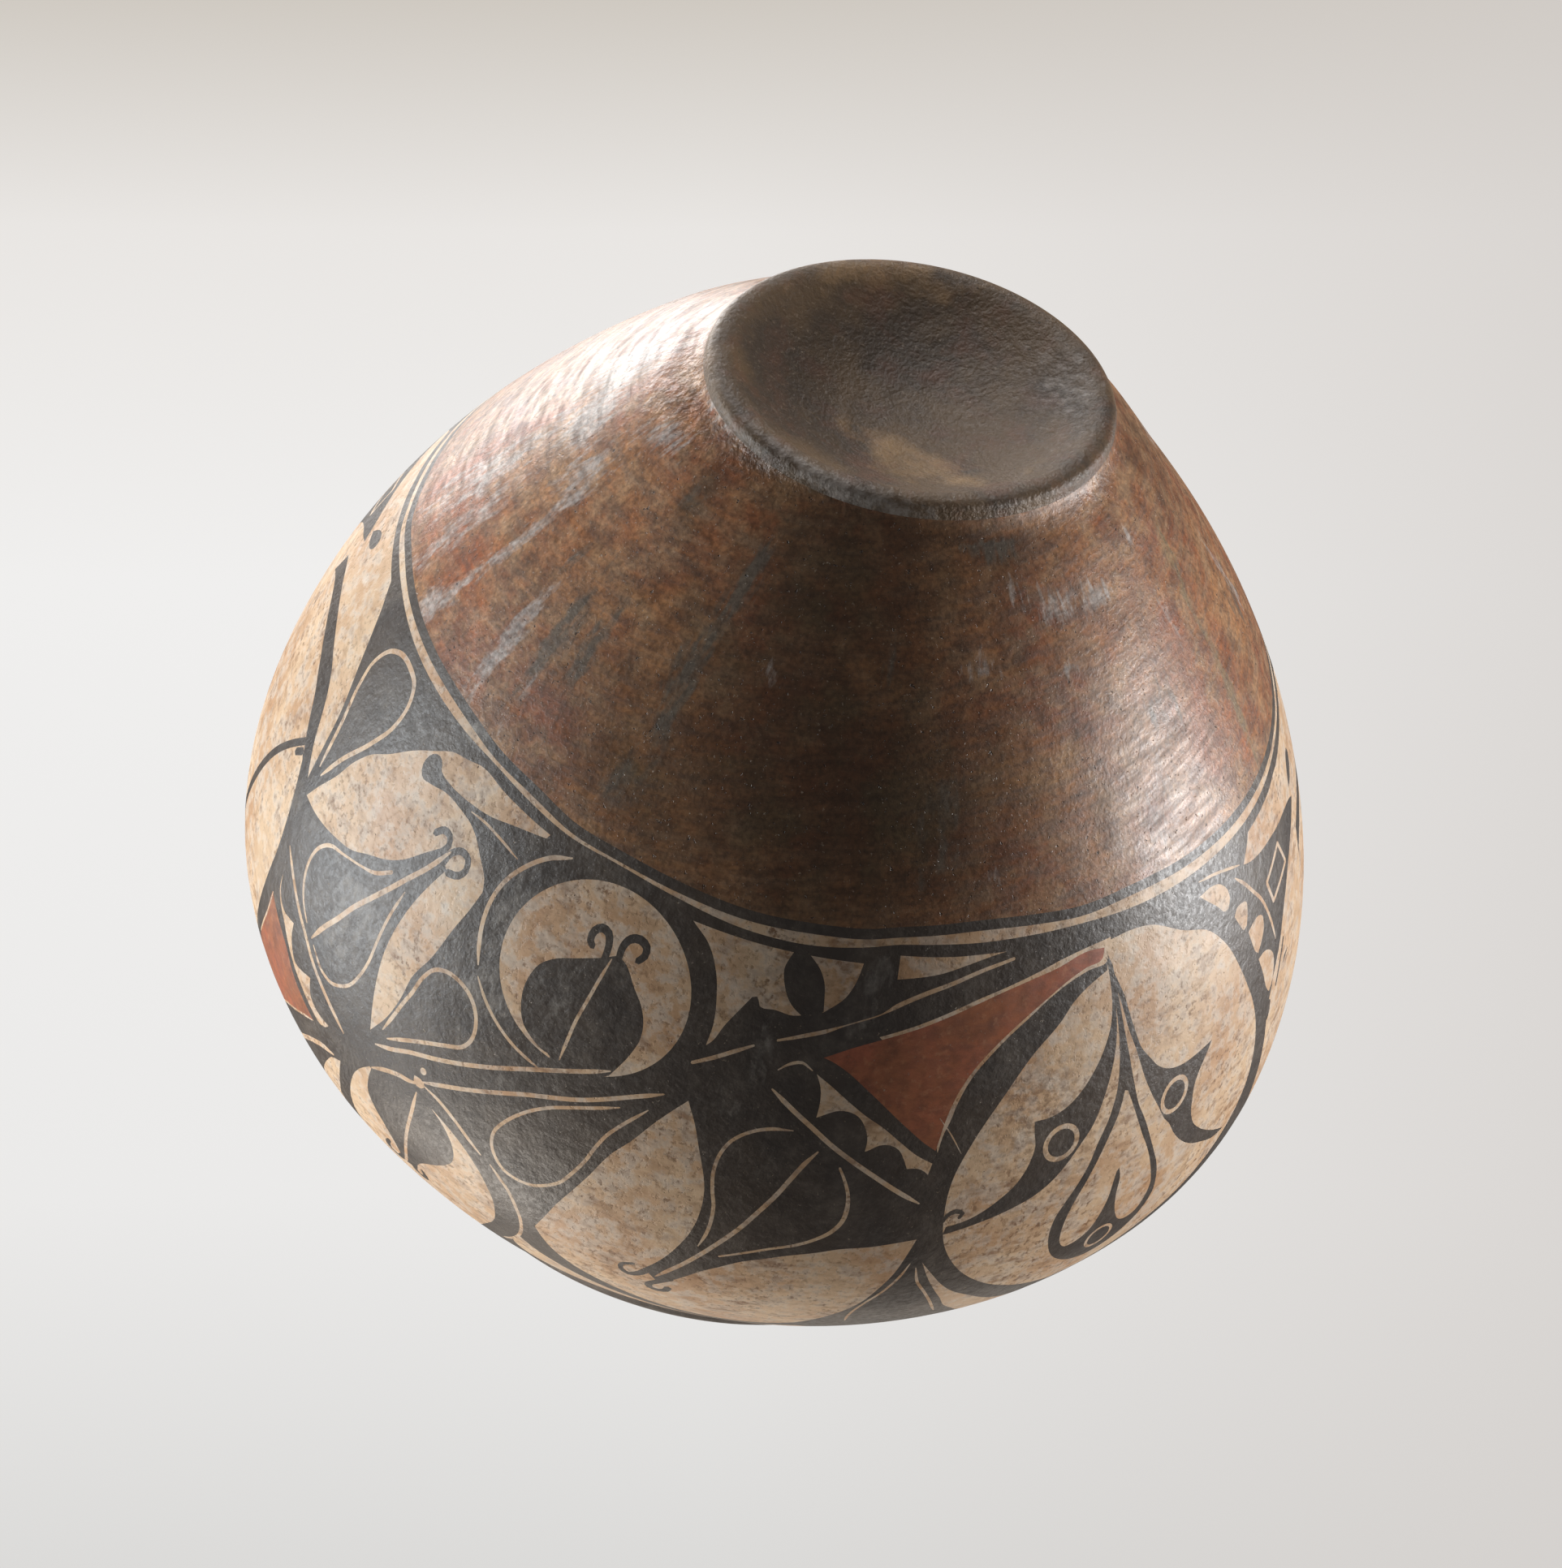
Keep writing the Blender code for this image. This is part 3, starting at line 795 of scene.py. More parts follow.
# %% The inner half section
def curve(start, start_slope, end, end_slope, steps):
    """Points of a smooth curve between two (radius, height) points, without its first point."""
    parts = [np.array(part) for part in (start, start_slope, end, end_slope)]
    return [tuple(curve_point(*parts, step / steps)) for step in range(1, steps + 1)]


INNER_STEPS = 60
LIP_STEPS = 8
UNDERBODY_STEPS = 26
WAIST_STEPS = 8
ROUND_STEPS = 4
DISH_STEPS = 16
FLOOR_STEPS = 8
CORNER_STEPS = 10
NECK_STEPS = 3
SOLID_UNDERBODY_STEPS = 11
NORMAL_REACH = 0.0005
SLOPE_REACH = 0.002
SLOPE_STEP = 0.0001
neck_end = HEIGHT - WALL / 2


def inner_point(z):
    """The outer wall moved in by the thickness of the clay, along its own normal."""
    lower = max(z - NORMAL_REACH, WAIST_TOP)
    upper = min(z + NORMAL_REACH, neck_end)
    angle = atan2(upper - lower, outer_radius(upper) - outer_radius(lower))
    return (outer_radius(z) - WALL * sin(angle), z + WALL * cos(angle))


floor_radius = DISH_EDGE / 2
inner_chain = []
for step in range(FLOOR_STEPS + 1):
    r = floor_radius * step / FLOOR_STEPS
    inner_chain.append((r, dish_height(r) + BASE_THICKNESS))
wall_start = WAIST_TOP + (CROWN_HEIGHT - WAIST_TOP) / SOLID_UNDERBODY_STEPS
corner_end = inner_point(wall_start)
corner_next = inner_point(wall_start + SLOPE_REACH)
corner_reach = corner_end[0] - floor_radius
fall = DISH_DEPTH * DISH_POWER / DISH_EDGE * 0.5 ** (DISH_POWER - 1)
corner_rise = (corner_next[1] - corner_end[1]) / (corner_next[0] - corner_end[0])
inner_chain += curve(inner_chain[-1], (corner_reach, -fall * corner_reach),
                     corner_end, (corner_reach, corner_rise * corner_reach), CORNER_STEPS)
for step in range(1, INNER_STEPS + 1):
    inner_chain.append(inner_point(wall_start + (neck_end - wall_start) * step / INNER_STEPS))
lip_middle = outer_radius(neck_end) - WALL / 2
for step in range(1, LIP_STEPS):
    angle = pi * (1 - step / LIP_STEPS)
    inner_chain.append((lip_middle + WALL / 2 * cos(angle), neck_end + WALL / 2 * sin(angle)))
band_top = height_at(BAND_END)
for step in range(NECK_STEPS + 1):
    z = neck_end + (band_top - neck_end) * step / NECK_STEPS
    inner_chain.append((outer_radius(z), z))
print("inner half section:", len(inner_chain), "points")

# %% The half section of the foot
band_bottom = height_at(BAND_START)
foot_chain = []
for step in range(UNDERBODY_STEPS + 1):
    z = band_bottom + (WAIST_TOP - band_bottom) * step / UNDERBODY_STEPS
    foot_chain.append((outer_radius(z), z))
waist_rise = WAIST_TOP - FOOT_ROUND
waist_slope = (body_radius(WAIST_TOP + SLOPE_STEP) - body_radius(WAIST_TOP)) / SLOPE_STEP
foot_chain += curve(foot_chain[-1], (-waist_slope * waist_rise, -waist_rise),
                    (FOOT_RADIUS, FOOT_ROUND), (0, -waist_rise), WAIST_STEPS)
for step in range(1, ROUND_STEPS + 1):
    angle = pi / 2 * step / ROUND_STEPS
    r = DISH_EDGE + REST_WIDTH + FOOT_ROUND * cos(angle)
    foot_chain.append((r, FOOT_ROUND - FOOT_ROUND * sin(angle)))
for step in range(DISH_STEPS + 1):
    r = DISH_EDGE * (1 - step / DISH_STEPS)
    foot_chain.append((r, dish_height(r)))
print("half section of the foot:", len(foot_chain), "points")

# %% Spin the half sections
LIP_PAINT_SHARE = 0.2
POLISH_START = FOOT_ROUND * 1.5
POLISH_EDGE = FOOT_RADIUS - 0.004
WELD_DISTANCE = 0.00003
jar_mesh = bmesh.new()


def spun(chain, material_at):
    """Spins a half section once round Z. The middle of each new face decides its material."""
    start_angle = angle_at(0)
    rim = [jar_mesh.verts.new((r * cos(start_angle), r * sin(start_angle), z)) for r, z in chain]
    edges = [jar_mesh.edges.new(pair) for pair in zip(rim, rim[1:])]
    known = set(jar_mesh.faces)
    bmesh.ops.spin(jar_mesh, geom=rim + edges, cent=(0, 0, 0), axis=(0, 0, 1), angle=2 * pi,
                   steps=SPIN_STEPS, use_merge=True)
    for face in jar_mesh.faces:
        if face not in known:
            face.material_index = material_at(face.calc_center_median())


def inner_material(middle):
    """The rim's black line runs over the lip; below it the inside is bare."""
    on_lip = hypot(middle.x, middle.y) > lip_middle - WALL * LIP_PAINT_SHARE
    return BLACK if on_lip and middle.z > HEIGHT - NECK_HEIGHT else INNER


def foot_material(middle):
    """The polish ends where the wall turns in to the foot."""
    on_wall_side = hypot(middle.x, middle.y) > POLISH_EDGE
    return BURNISHED if on_wall_side and middle.z > POLISH_START else SOOTED


spun(inner_chain, inner_material)
spun(foot_chain, foot_material)
print("spun faces:", len(jar_mesh.faces))

# %% Fold the painted ring up and join it
ring_corners = []
for x, y in ring_vertices:
    around, along = from_flat(x, y)
    z = height_at(along)
    angle = angle_at(around)
    r = outer_radius(z)
    ring_corners.append(jar_mesh.verts.new((r * cos(angle), r * sin(angle), z)))
for face, colour in zip(ring_faces, colours):
    jar_mesh.faces.new([ring_corners[i] for i in face]).material_index = int(colour)
loose = [vertex for vertex in jar_mesh.verts if not vertex.link_faces]
bmesh.ops.delete(jar_mesh, geom=loose, context="VERTS")
bmesh.ops.remove_doubles(jar_mesh, verts=jar_mesh.verts[:], dist=WELD_DISTANCE)
bmesh.ops.recalc_face_normals(jar_mesh, faces=jar_mesh.faces[:])
open_edges = [edge for edge in jar_mesh.edges if not edge.is_manifold]
print("joined jar:", len(jar_mesh.faces), "faces,", len(open_edges), "open edges, volume",
      round(jar_mesh.calc_volume() * 1e6, 1), "cm3")

# %% [markdown]
# ## The hand that made it
# A coiled and scraped wall is never quite round. The turned shape first gets the slight ovals of the body
# and of the foot, then it is drawn in by fractions of a millimetre, in slow swells. It is only ever drawn
# in, so it stays inside the size of the solid.

# %% Ovals and unevenness
SWELL_DEPTH = 0.0007
SWELL_SIZE = 0.045
SWELL_MIDDLE = 0.6
SWELL_RANGE = 0.5
SWELL_START = 0.004
SWELL_FADE = 0.02
noise.seed_set(7)
for vertex in jar_mesh.verts:
    x, y, z = vertex.co
    angle = atan2(y, x)
    scale = oval_scale(angle, z)
    swell = noise.noise(Vector((cos(angle), sin(angle), z / BODY_RADIUS)) * BODY_RADIUS / SWELL_SIZE)
    grown = min(max((z - SWELL_START) / SWELL_FADE, 0), 1)
    scale -= grown * SWELL_DEPTH * (SWELL_MIDDLE + SWELL_RANGE * swell) / BODY_RADIUS
    vertex.co = (x * scale, y * scale, z)

mesh = bpy.data.meshes.new("painted_olla")
jar_mesh.to_mesh(mesh)
jar_mesh.free()
mesh.shade_smooth()
jar = bpy.data.objects.new("painted_olla", mesh)
bpy.context.scene.collection.objects.link(jar)
print("jar triangles:", sum(len(p.vertices) - 2 for p in mesh.polygons))

# %% [markdown]
# ## Marks of use and firing, with some painted light
# An old jar is not one colour. The fire left a dark cloud on the underbody, the iron in the slip turned
# orange where the air reached it, and years of use left pale and grey streaks that run with the wall, a
# dried drip, and earth in the dish. Some masks also carry painted light: painted shade on one side of the
# dish, a painted sheen on its other side and a painted highlight along the foot's crest. Each kind of mark
# is a soft mask on the points of the mesh, a sum of patches that have a place and a size on the painter's
# ruler.

# %% Where each vertex lies
FOOT_REACH = FOOT_RADIUS * 1.02
UNDERSIDE_TOP = 0.0165
INSIDE_SHARE = 0.7
count = len(mesh.vertices)
spots_xyz = np.empty(count * 3)
mesh.vertices.foreach_get("co", spots_xyz)
spots_xyz = spots_xyz.reshape(-1, 3)
spot_angle = np.arctan2(spots_xyz[:, 1], spots_xyz[:, 0])
spot_reach = np.hypot(spots_xyz[:, 0], spots_xyz[:, 1])
spot_around = (-pi / 2 - spot_angle) * BODY_RADIUS * 1000
spot_around[spot_around < -TURN_MM / 2] += TURN_MM
spot_along = (np.interp(spots_xyz[:, 2], wall_heights, wall_lengths) - framing_length) * 1000
near_foot = spot_reach < FOOT_REACH
under_foot = (spots_xyz[:, 2] < WAIST_TOP) & near_foot
spot_along[under_foot] = -framing_length * 1000 - (FOOT_RADIUS - spot_reach[under_foot]) * 1000
wall_here = np.interp(spots_xyz[:, 2], wall_heights, wall_radii)
inside = (spot_reach < wall_here - WALL * INSIDE_SHARE) & ~((spots_xyz[:, 2] < UNDERSIDE_TOP) & near_foot)
east = BODY_RADIUS * np.cos(spot_angle)
north = BODY_RADIUS * np.sin(spot_angle)
place = np.stack([east, north, spot_along / 1000], axis=1)
wall_attribute = mesh.attributes.new("wall_place", "FLOAT_VECTOR", "POINT")
wall_attribute.data.foreach_set("vector", place.astype(np.float32).ravel())
print(count, "points,", int(inside.sum()), "of them inside the jar")


# %% Firing cloud, painted dish shade and burnt slip
def mark(name, patches):
    """A soft mask. Each patch is around, along, half its size each way in mm, lean, and strength."""
    total = np.zeros(count)
    for around, along, wide, tall, lean, strength in patches:
        down = spot_along - along
        across = spot_around - around - lean * down
        across = (across + TURN_MM / 2) % TURN_MM - TURN_MM / 2
        total += strength * np.exp(-(across / wide) ** 2 - (down / tall) ** 2)
    total[inside] = 0
    attribute = mesh.attributes.new(name, "FLOAT", "POINT")
    attribute.data.foreach_set("value", np.clip(total, 0, 1).astype(np.float32))
    print(name, "covers", round(float(np.mean(total > 0.3)), 3), "of the points")


# Mostly the firing cloud; the patch on the dish's side at around -280 is painted shade, not soot.
mark("fire_cloud_and_dish_shade", [
    (5, -42, 70, 58, 0.15, 0.82), (-40, -90, 44, 26, 0.5, 0.25), (34, -98, 60, 24, 0, 0.4),
    (66, -20, 46, 32, 0, 0.4), (105, -106, 36, 8, 0, 0.5), (-66, -15, 46, 30, 0, 0.35),
    (-280, -143, 110, 13, 0, 0.75), (-459, -158, 150, 8, 0, 0.5), (-119, -90, 10, 9, 0, 0.7),
    (-104, -112, 26, 7, 0, 0.8), (60, -114, 60, 5, 0, 0.8), (-60, -116, 60, 3, 0, 0.7),
    (110, -95, 30, 16, 0, 0.35), (500, -60, 70, 45, 0.2, 0.7), (380, -30, 40, 30, 0, 0.4),
    (300, -90, 40, 25, 0, 0.5)])
mark("red_slip_patch", [
    (-175, -18, 42, 20, 0, 0.9), (-247, -55, 6, 16, -0.1, 1.0), (-248, -16, 7, 18, 0, 1.0),
    (-105, -45, 20, 12, 0, 0.5), (-85, -25, 18, 22, 0.3, 0.5), (95, -22, 30, 22, 0, 0.6),
    (122, -60, 26, 22, 0, 0.6), (205, -30, 24, 32, 0, 0.85), (232, -16, 8, 20, 0, 0.9),
    (168, -68, 20, 6, 0, 0.7), (215, -62, 20, 12, 0, 0.6), (-225, -22, 26, 24, 0, 0.8),
    (-98, -15, 22, 14, 0, 0.5), (254, -40, 9, 30, 0, 0.9), (330, -40, 40, 40, 0, 0.7),
    (450, -25, 40, 20, 0, 0.6), (-330, -60, 30, 30, 0, 0.5)])

# %% Ash, smudges and crumbs
mark("ash_streak", [
    (-179, -28, 5, 34, -0.08, 1.0), (-186, -5, 6, 8, 0, 0.8), (-141, -24, 6, 26, 0.14, 1.0),
    (-118, -14, 3, 12, 0.1, 0.8), (-188, -66, 14, 16, 0, 0.85), (-222, -70, 16, 10, 0.2, 0.8),
    (-170, -94, 26, 8, -0.8, 0.85), (-235, -30, 22, 40, 0, 0.75), (-208, -20, 8, 24, 0, 0.7),
    (-262, -84, 30, 20, 0, 0.9), (-25, -60, 4, 5, 0.3, 0.8), (165, -18, 26, 22, 0, 0.5),
    (135, -84, 30, 6, -0.3, 0.8), (132, -67, 8, 2.5, 0, 0.9), (172, -82, 14, 5, 0, 0.8),
    (82, -72, 14, 5, -0.4, 0.8), (218, -90, 12, 6, 0, 0.7), (217, -62, 4, 16, 0, 0.7),
    (83, -15, 5, 8, 0, 0.7), (-160, -112, 40, 5, 0, 0.8), (105, -92, 10, 5, 0, 0.7),
    (420, -60, 8, 30, 0.2, 0.8), (350, -80, 30, 10, 0, 0.7), (480, -95, 5, 14, 0, 0.7),
    (300, -40, 6, 26, 0, 0.8)])
mark("grey_smudge", [
    (-58, -80, 7, 19, 0, 1.1), (-62, -48, 9, 22, 0.15, 0.95), (-124, -36, 7, 26, 0.05, 1.0),
    (-107, -38, 7, 24, 0.1, 0.9), (-62, -14, 16, 12, 0, 0.6), (96, -106, 28, 8, 0, 1.4),
    (183, -45, 22, 10, 0, 0.75), (-145, -53, 6, 7, 0, 0.9), (31, -73, 6, 8, 0, 0.85),
    (-118, -89, 9, 7, 0, 0.8), (-60, -114, 50, 3, 0, 0.6), (60, -30, 18, 32, 0, 0.6),
    (300, -30, 22, 14, 0, 0.7), (520, -20, 30, 12, 0, 0.7), (400, -70, 6, 30, 0, 0.8)])
mark("foot_lumps", [
    (-205, -108, 90, 15, 0, 1.0), (-110, -112, 60, 9, 0, 0.7), (-20, -115, 50, 5, 0, 0.4),
    (300, -112, 150, 9, 0, 0.6)])

# %% Marks on the painted band and under the foot
mark("stain", [
    (113, 62, 26, 16, 0, 0.55), (105, 84, 14, 12, 0, 0.5), (100, 50, 14, 12, 0, 0.4),
    (148, 44, 14, 10, 0, 0.3), (30, 118, 26, 12, 0, 0.3), (-15, 110, 18, 20, 0, 0.25),
    (-108, 12, 16, 6, 0, 0.45), (20, 20, 20, 8, 0, 0.4), (44, 12, 9, 9, 0, 0.9), (-62, 22, 8, 18, 0, 0.4),
    (-120, 35, 20, 10, 0, 0.2), (360, 60, 40, 20, 0, 0.5), (470, 110, 40, 25, 0, 0.4),
    (-340, 100, 40, 20, 0, 0.4)])
mark("rub", [
    (-126, 3, 10, 4, 0, 0.9), (-77, 32, 9, 26, 0.1, 0.85), (-96, 46, 9, 16, 0.3, 0.7),
    (-49.5, 47, 2.5, 13, 0, 1.0), (-123, 68, 22, 10, 0.4, 0.8), (-128, 84, 14, 10, 0, 0.65),
    (-70, 60, 14, 8, 0, 0.7), (-60, 82, 26, 10, 0, 0.6), (14.5, 38, 3.2, 14, 0, 0.95),
    (45, 12, 7, 10, 0, 0.85), (40, 28, 6, 5, 0, 0.6), (160, 6, 22, 10, 0, 0.6), (-166, 22, 8, 8, 0, 0.6),
    (72, 60, 2, 5, 0.8, 0.8), (-100, -2, 22, 3, 0, 0.8), (8, 58, 5, 14, 0, 0.6), (231, 1, 4, 6, 0, 1.0),
    (-216, 1, 4, 4, 0, 0.8), (330, 40, 20, 20, 0, 0.6), (440, 80, 30, 14, 0, 0.6)])
mark("ochre_earth", [
    (45, -151, 75, 13, 0, 1.3), (105, -139, 34, 8, 0, 0.8), (-64, -161, 100, 9, 0, 1.0),
    (-200, -150, 90, 9, 0, 0.5), (-468, -127, 130, 7, 0, 0.9), (180, -132, 60, 5, 0, 0.5)])
# Painted light: a pale sheen on one side of the dish and a highlight along the foot's crest.
mark("painted_foot_sheen", [
    (340, -128, 75, 12, 0, 0.75), (-30, -119, 120, 3.5, 0, 0.95)])
mark("dried_drip", [
    (238, -25, 5, 34, -0.08, 1.1), (249, -74, 7, 16, -0.5, 0.95)])

# %% [markdown]
# ## Node helpers
# Every finish here is fired clay: one base colour, a stack of thin colour layers that each show through a
# mask, an uneven gloss and a fine relief. The masks are clouds whose size is given in real millimetres.

# %% Helpers
POLISH_TILT = radians(11)
NOISE_ROUGHNESS = 0.6
CLAY_IOR = 1.5
SLIP_SPECULAR = 0.55


def linear(hex_colour):
    """An sRGB hex colour as linear red, green, blue and alpha."""
    values = [int(hex_colour[i:i + 2], 16) / 255 for i in (1, 3, 5)]
    return tuple(v / 12.92 if v <= 0.04045 else ((v + 0.055) / 1.055) ** 2.4 for v in values) + (1.0,)


def add_node(tree, kind, inputs=None, **settings):
    """Adds a node. Each input is a value, or another node's output to link."""
    node = tree.nodes.new(kind)
    for name, value in settings.items():
        setattr(node, name, value)
    for socket, value in (inputs or {}).items():
        if isinstance(value, bpy.types.NodeSocket):
            tree.links.new(value, node.inputs[socket])
        else:
            node.inputs[socket].default_value = value
    return node


def cloud(tree, size, low, high, stretch=(1, 1, 1), detail=5.0, place=None):
    """A cloudy mask from 0 to 1 whose features are about size mm across."""
    if place is None:
        place = add_node(tree, "ShaderNodeTexCoord").outputs["Object"]
    scale = tuple(1000 / size * axis for axis in stretch)
    laid = add_node(tree, "ShaderNodeMapping", {"Vector": place, "Scale": scale})
    settings = {"Vector": laid.outputs[0], "Scale": 1.0, "Detail": detail, "Roughness": NOISE_ROUGHNESS}
    noise_node = add_node(tree, "ShaderNodeTexNoise", settings)
    faded = add_node(tree, "ShaderNodeMapRange",
                     {"Value": noise_node.outputs[0], "From Min": low, "From Max": high})
    return faded.outputs[0]


def mask_of(tree, name):
    """A mask that was marked on the points of the mesh."""
    return add_node(tree, "ShaderNodeAttribute", attribute_name=name).outputs["Fac"]


def ragged(tree, name, size, flow, soft):
    """A marked patch with a torn, mottled edge. A flow below 1 draws the mottles out along the wall."""
    place = on_wall(tree) if flow < 1 else None
    grain = cloud(tree, size, 0.25, 0.75, stretch=(1, 1, flow), place=place)
    total = add_node(tree, "ShaderNodeMath", {0: mask_of(tree, name), 1: grain}, operation="ADD").outputs[0]
    faded = add_node(tree, "ShaderNodeMapRange", {"Value": total, "From Min": 1.0, "From Max": 1.0 + soft})
    return faded.outputs[0]


def on_wall(tree):
    """Coordinates that run round the jar and up its wall, for streaks."""
    return add_node(tree, "ShaderNodeAttribute", attribute_name="wall_place").outputs["Vector"]


def tilted(tree):
    """Coordinates that lean a little, for polishing strokes that rise to one side on their way round."""
    place = add_node(tree, "ShaderNodeTexCoord").outputs["Object"]
    return add_node(tree, "ShaderNodeMapping", {"Vector": place, "Rotation": (0, POLISH_TILT, 0)}).outputs[0]


def clay_surface(name):
    """A new material and its node tree."""
    material = bpy.data.materials.new(name)
    material.use_nodes = True
    return material, material.node_tree


def build_surface(material, base, layers, gloss, reliefs):
    """Stacks the colour layers, links an uneven roughness and adds the reliefs from coarse to fine."""
    tree = material.node_tree
    shader = tree.nodes["Principled BSDF"]
    shader.inputs["IOR"].default_value = CLAY_IOR
    shader.inputs["Specular IOR Level"].default_value = SLIP_SPECULAR
    shader.inputs["Metallic"].default_value = 0.0
    colour = linear(base)
    for hex_colour, strength, masks in layers:
        amount = masks[0]
        for other in masks[1:]:
            amount = add_node(tree, "ShaderNodeMath", {0: amount, 1: other}, operation="MULTIPLY").outputs[0]
        amount = add_node(tree, "ShaderNodeMath", {0: amount, 1: strength}, operation="MULTIPLY").outputs[0]
        colour = add_node(tree, "ShaderNodeMix", {0: amount, 6: colour, 7: linear(hex_colour)},
                          data_type="RGBA").outputs[2]
    tree.links.new(colour, shader.inputs["Base Color"])
    low, high, mask = gloss
    rough = add_node(tree, "ShaderNodeMapRange", {"Value": mask, "To Min": low, "To Max": high})
    tree.links.new(rough.outputs[0], shader.inputs["Roughness"])
    normal = None
    for height, depth_mm in reliefs:
        bump = add_node(tree, "ShaderNodeBump", {"Height": height, "Distance": depth_mm / 1000})
        if normal is not None:
            tree.links.new(normal, bump.inputs["Normal"])
        normal = bump.outputs[0]
    tree.links.new(normal, shader.inputs["Normal"])
    mesh.materials.append(material)
    print(material.name, "with", len(layers), "layers")


print("helpers ready; black paint in linear colour:", [round(value, 3) for value in linear("#463d37")])

# %% [markdown]
# ## Cream slip
# The cream ground is a white clay wash over the body, polished a little and then stained by use. Brown
# flecks of a millimetre or two lie in loose clouds, with pale rubbed places between them and a few
# pin-holes.

# %% Cream slip
cream, tree = clay_surface("cream_slip")
flecks = cloud(tree, 1.8, 0.53, 0.67)
wipes = cloud(tree, 3.2, 0.50, 0.68, stretch=(0.4, 0.4, 1))
clouds = cloud(tree, 20, 0.30, 0.62)
pits = cloud(tree, 1.0, 0.71, 0.79, detail=2)
build_surface(cream, "#e0bf9b", [
    ("#c19168", 0.80, [cloud(tree, 30, 0.40, 0.66)]),
    ("#efe2d2", 0.75, [cloud(tree, 5, 0.46, 0.64)]),
    ("#9a6f46", 0.60, [cloud(tree, 5, 0.52, 0.66), clouds]),
    ("#91653f", 0.80, [wipes, clouds]),
    ("#7d5532", 0.85, [flecks, clouds]),
    ("#6a4529", 0.85, [cloud(tree, 1.9, 0.44, 0.60, stretch=(0.7, 0.7, 1)), mask_of(tree, "stain")]),
    ("#b3a596", 0.45, [ragged(tree, "rub", 3, 0.7, 0.6)]),
    ("#33271e", 0.85, [pits]),
], (0.40, 0.56, clouds), [
    (cloud(tree, 22, 0.2, 0.8, detail=2), 0.25),
    (cloud(tree, 4.5, 0.2, 0.8, detail=3), 0.12),
    (flecks, -0.05),
    (pits, -0.16),
])

# %% [markdown]
# ## Black paint
# The black is a boiled plant syrup ground with iron ore. It is dense and matte, thins to grey where it is
# rubbed, and lets specks of the cream slip show.

# %% Black paint
black, tree = clay_surface("plant_and_iron_black")
brushed = cloud(tree, 1.6, 0.42, 0.70)
specks = cloud(tree, 1.0, 0.66, 0.75, detail=3)
build_surface(black, "#463d37", [
    ("#56483c", 0.65, [cloud(tree, 26, 0.40, 0.65)]),
    ("#766b60", 0.55, [cloud(tree, 10, 0.46, 0.68), cloud(tree, 2.4, 0.30, 0.62)]),
    ("#6d635a", 0.45, [brushed, cloud(tree, 17, 0.45, 0.65)]),
    ("#9b938a", 0.80, [ragged(tree, "rub", 3.5, 0.5, 0.7), cloud(tree, 1.6, 0.15, 0.55)]),
    ("#a8937a", 0.60, [specks]),
], (0.38, 0.56, brushed), [
    (cloud(tree, 22, 0.2, 0.8, detail=2), 0.25),
    (cloud(tree, 4.5, 0.2, 0.8, detail=3), 0.20),
    (brushed, 0.05),
    (specks, -0.06),
])

# %% [markdown]
# ## Red slip
# The triangles are filled with a red earth slip, thin enough that its brush marks show as orange and dark
# brown.

# %% Red slip
red, tree = clay_surface("red_earth_slip")
streaks = cloud(tree, 3.0, 0.38, 0.68, stretch=(0.5, 0.5, 1), place=on_wall(tree))
build_surface(red, "#b8694b", [
    ("#9a653f", 0.60, [cloud(tree, 26, 0.42, 0.62)]),
    ("#6b3c2a", 0.50, [streaks]),
    ("#5f3a28", 0.40, [cloud(tree, 4, 0.48, 0.66)]),
    ("#c98f68", 0.40, [cloud(tree, 2.6, 0.55, 0.70)]),
    ("#b09c8a", 0.6, [cloud(tree, 1.0, 0.67, 0.76, detail=3)]),
], (0.42, 0.58, streaks), [
    (cloud(tree, 22, 0.2, 0.8, detail=2), 0.25),
    (streaks, 0.04),
])
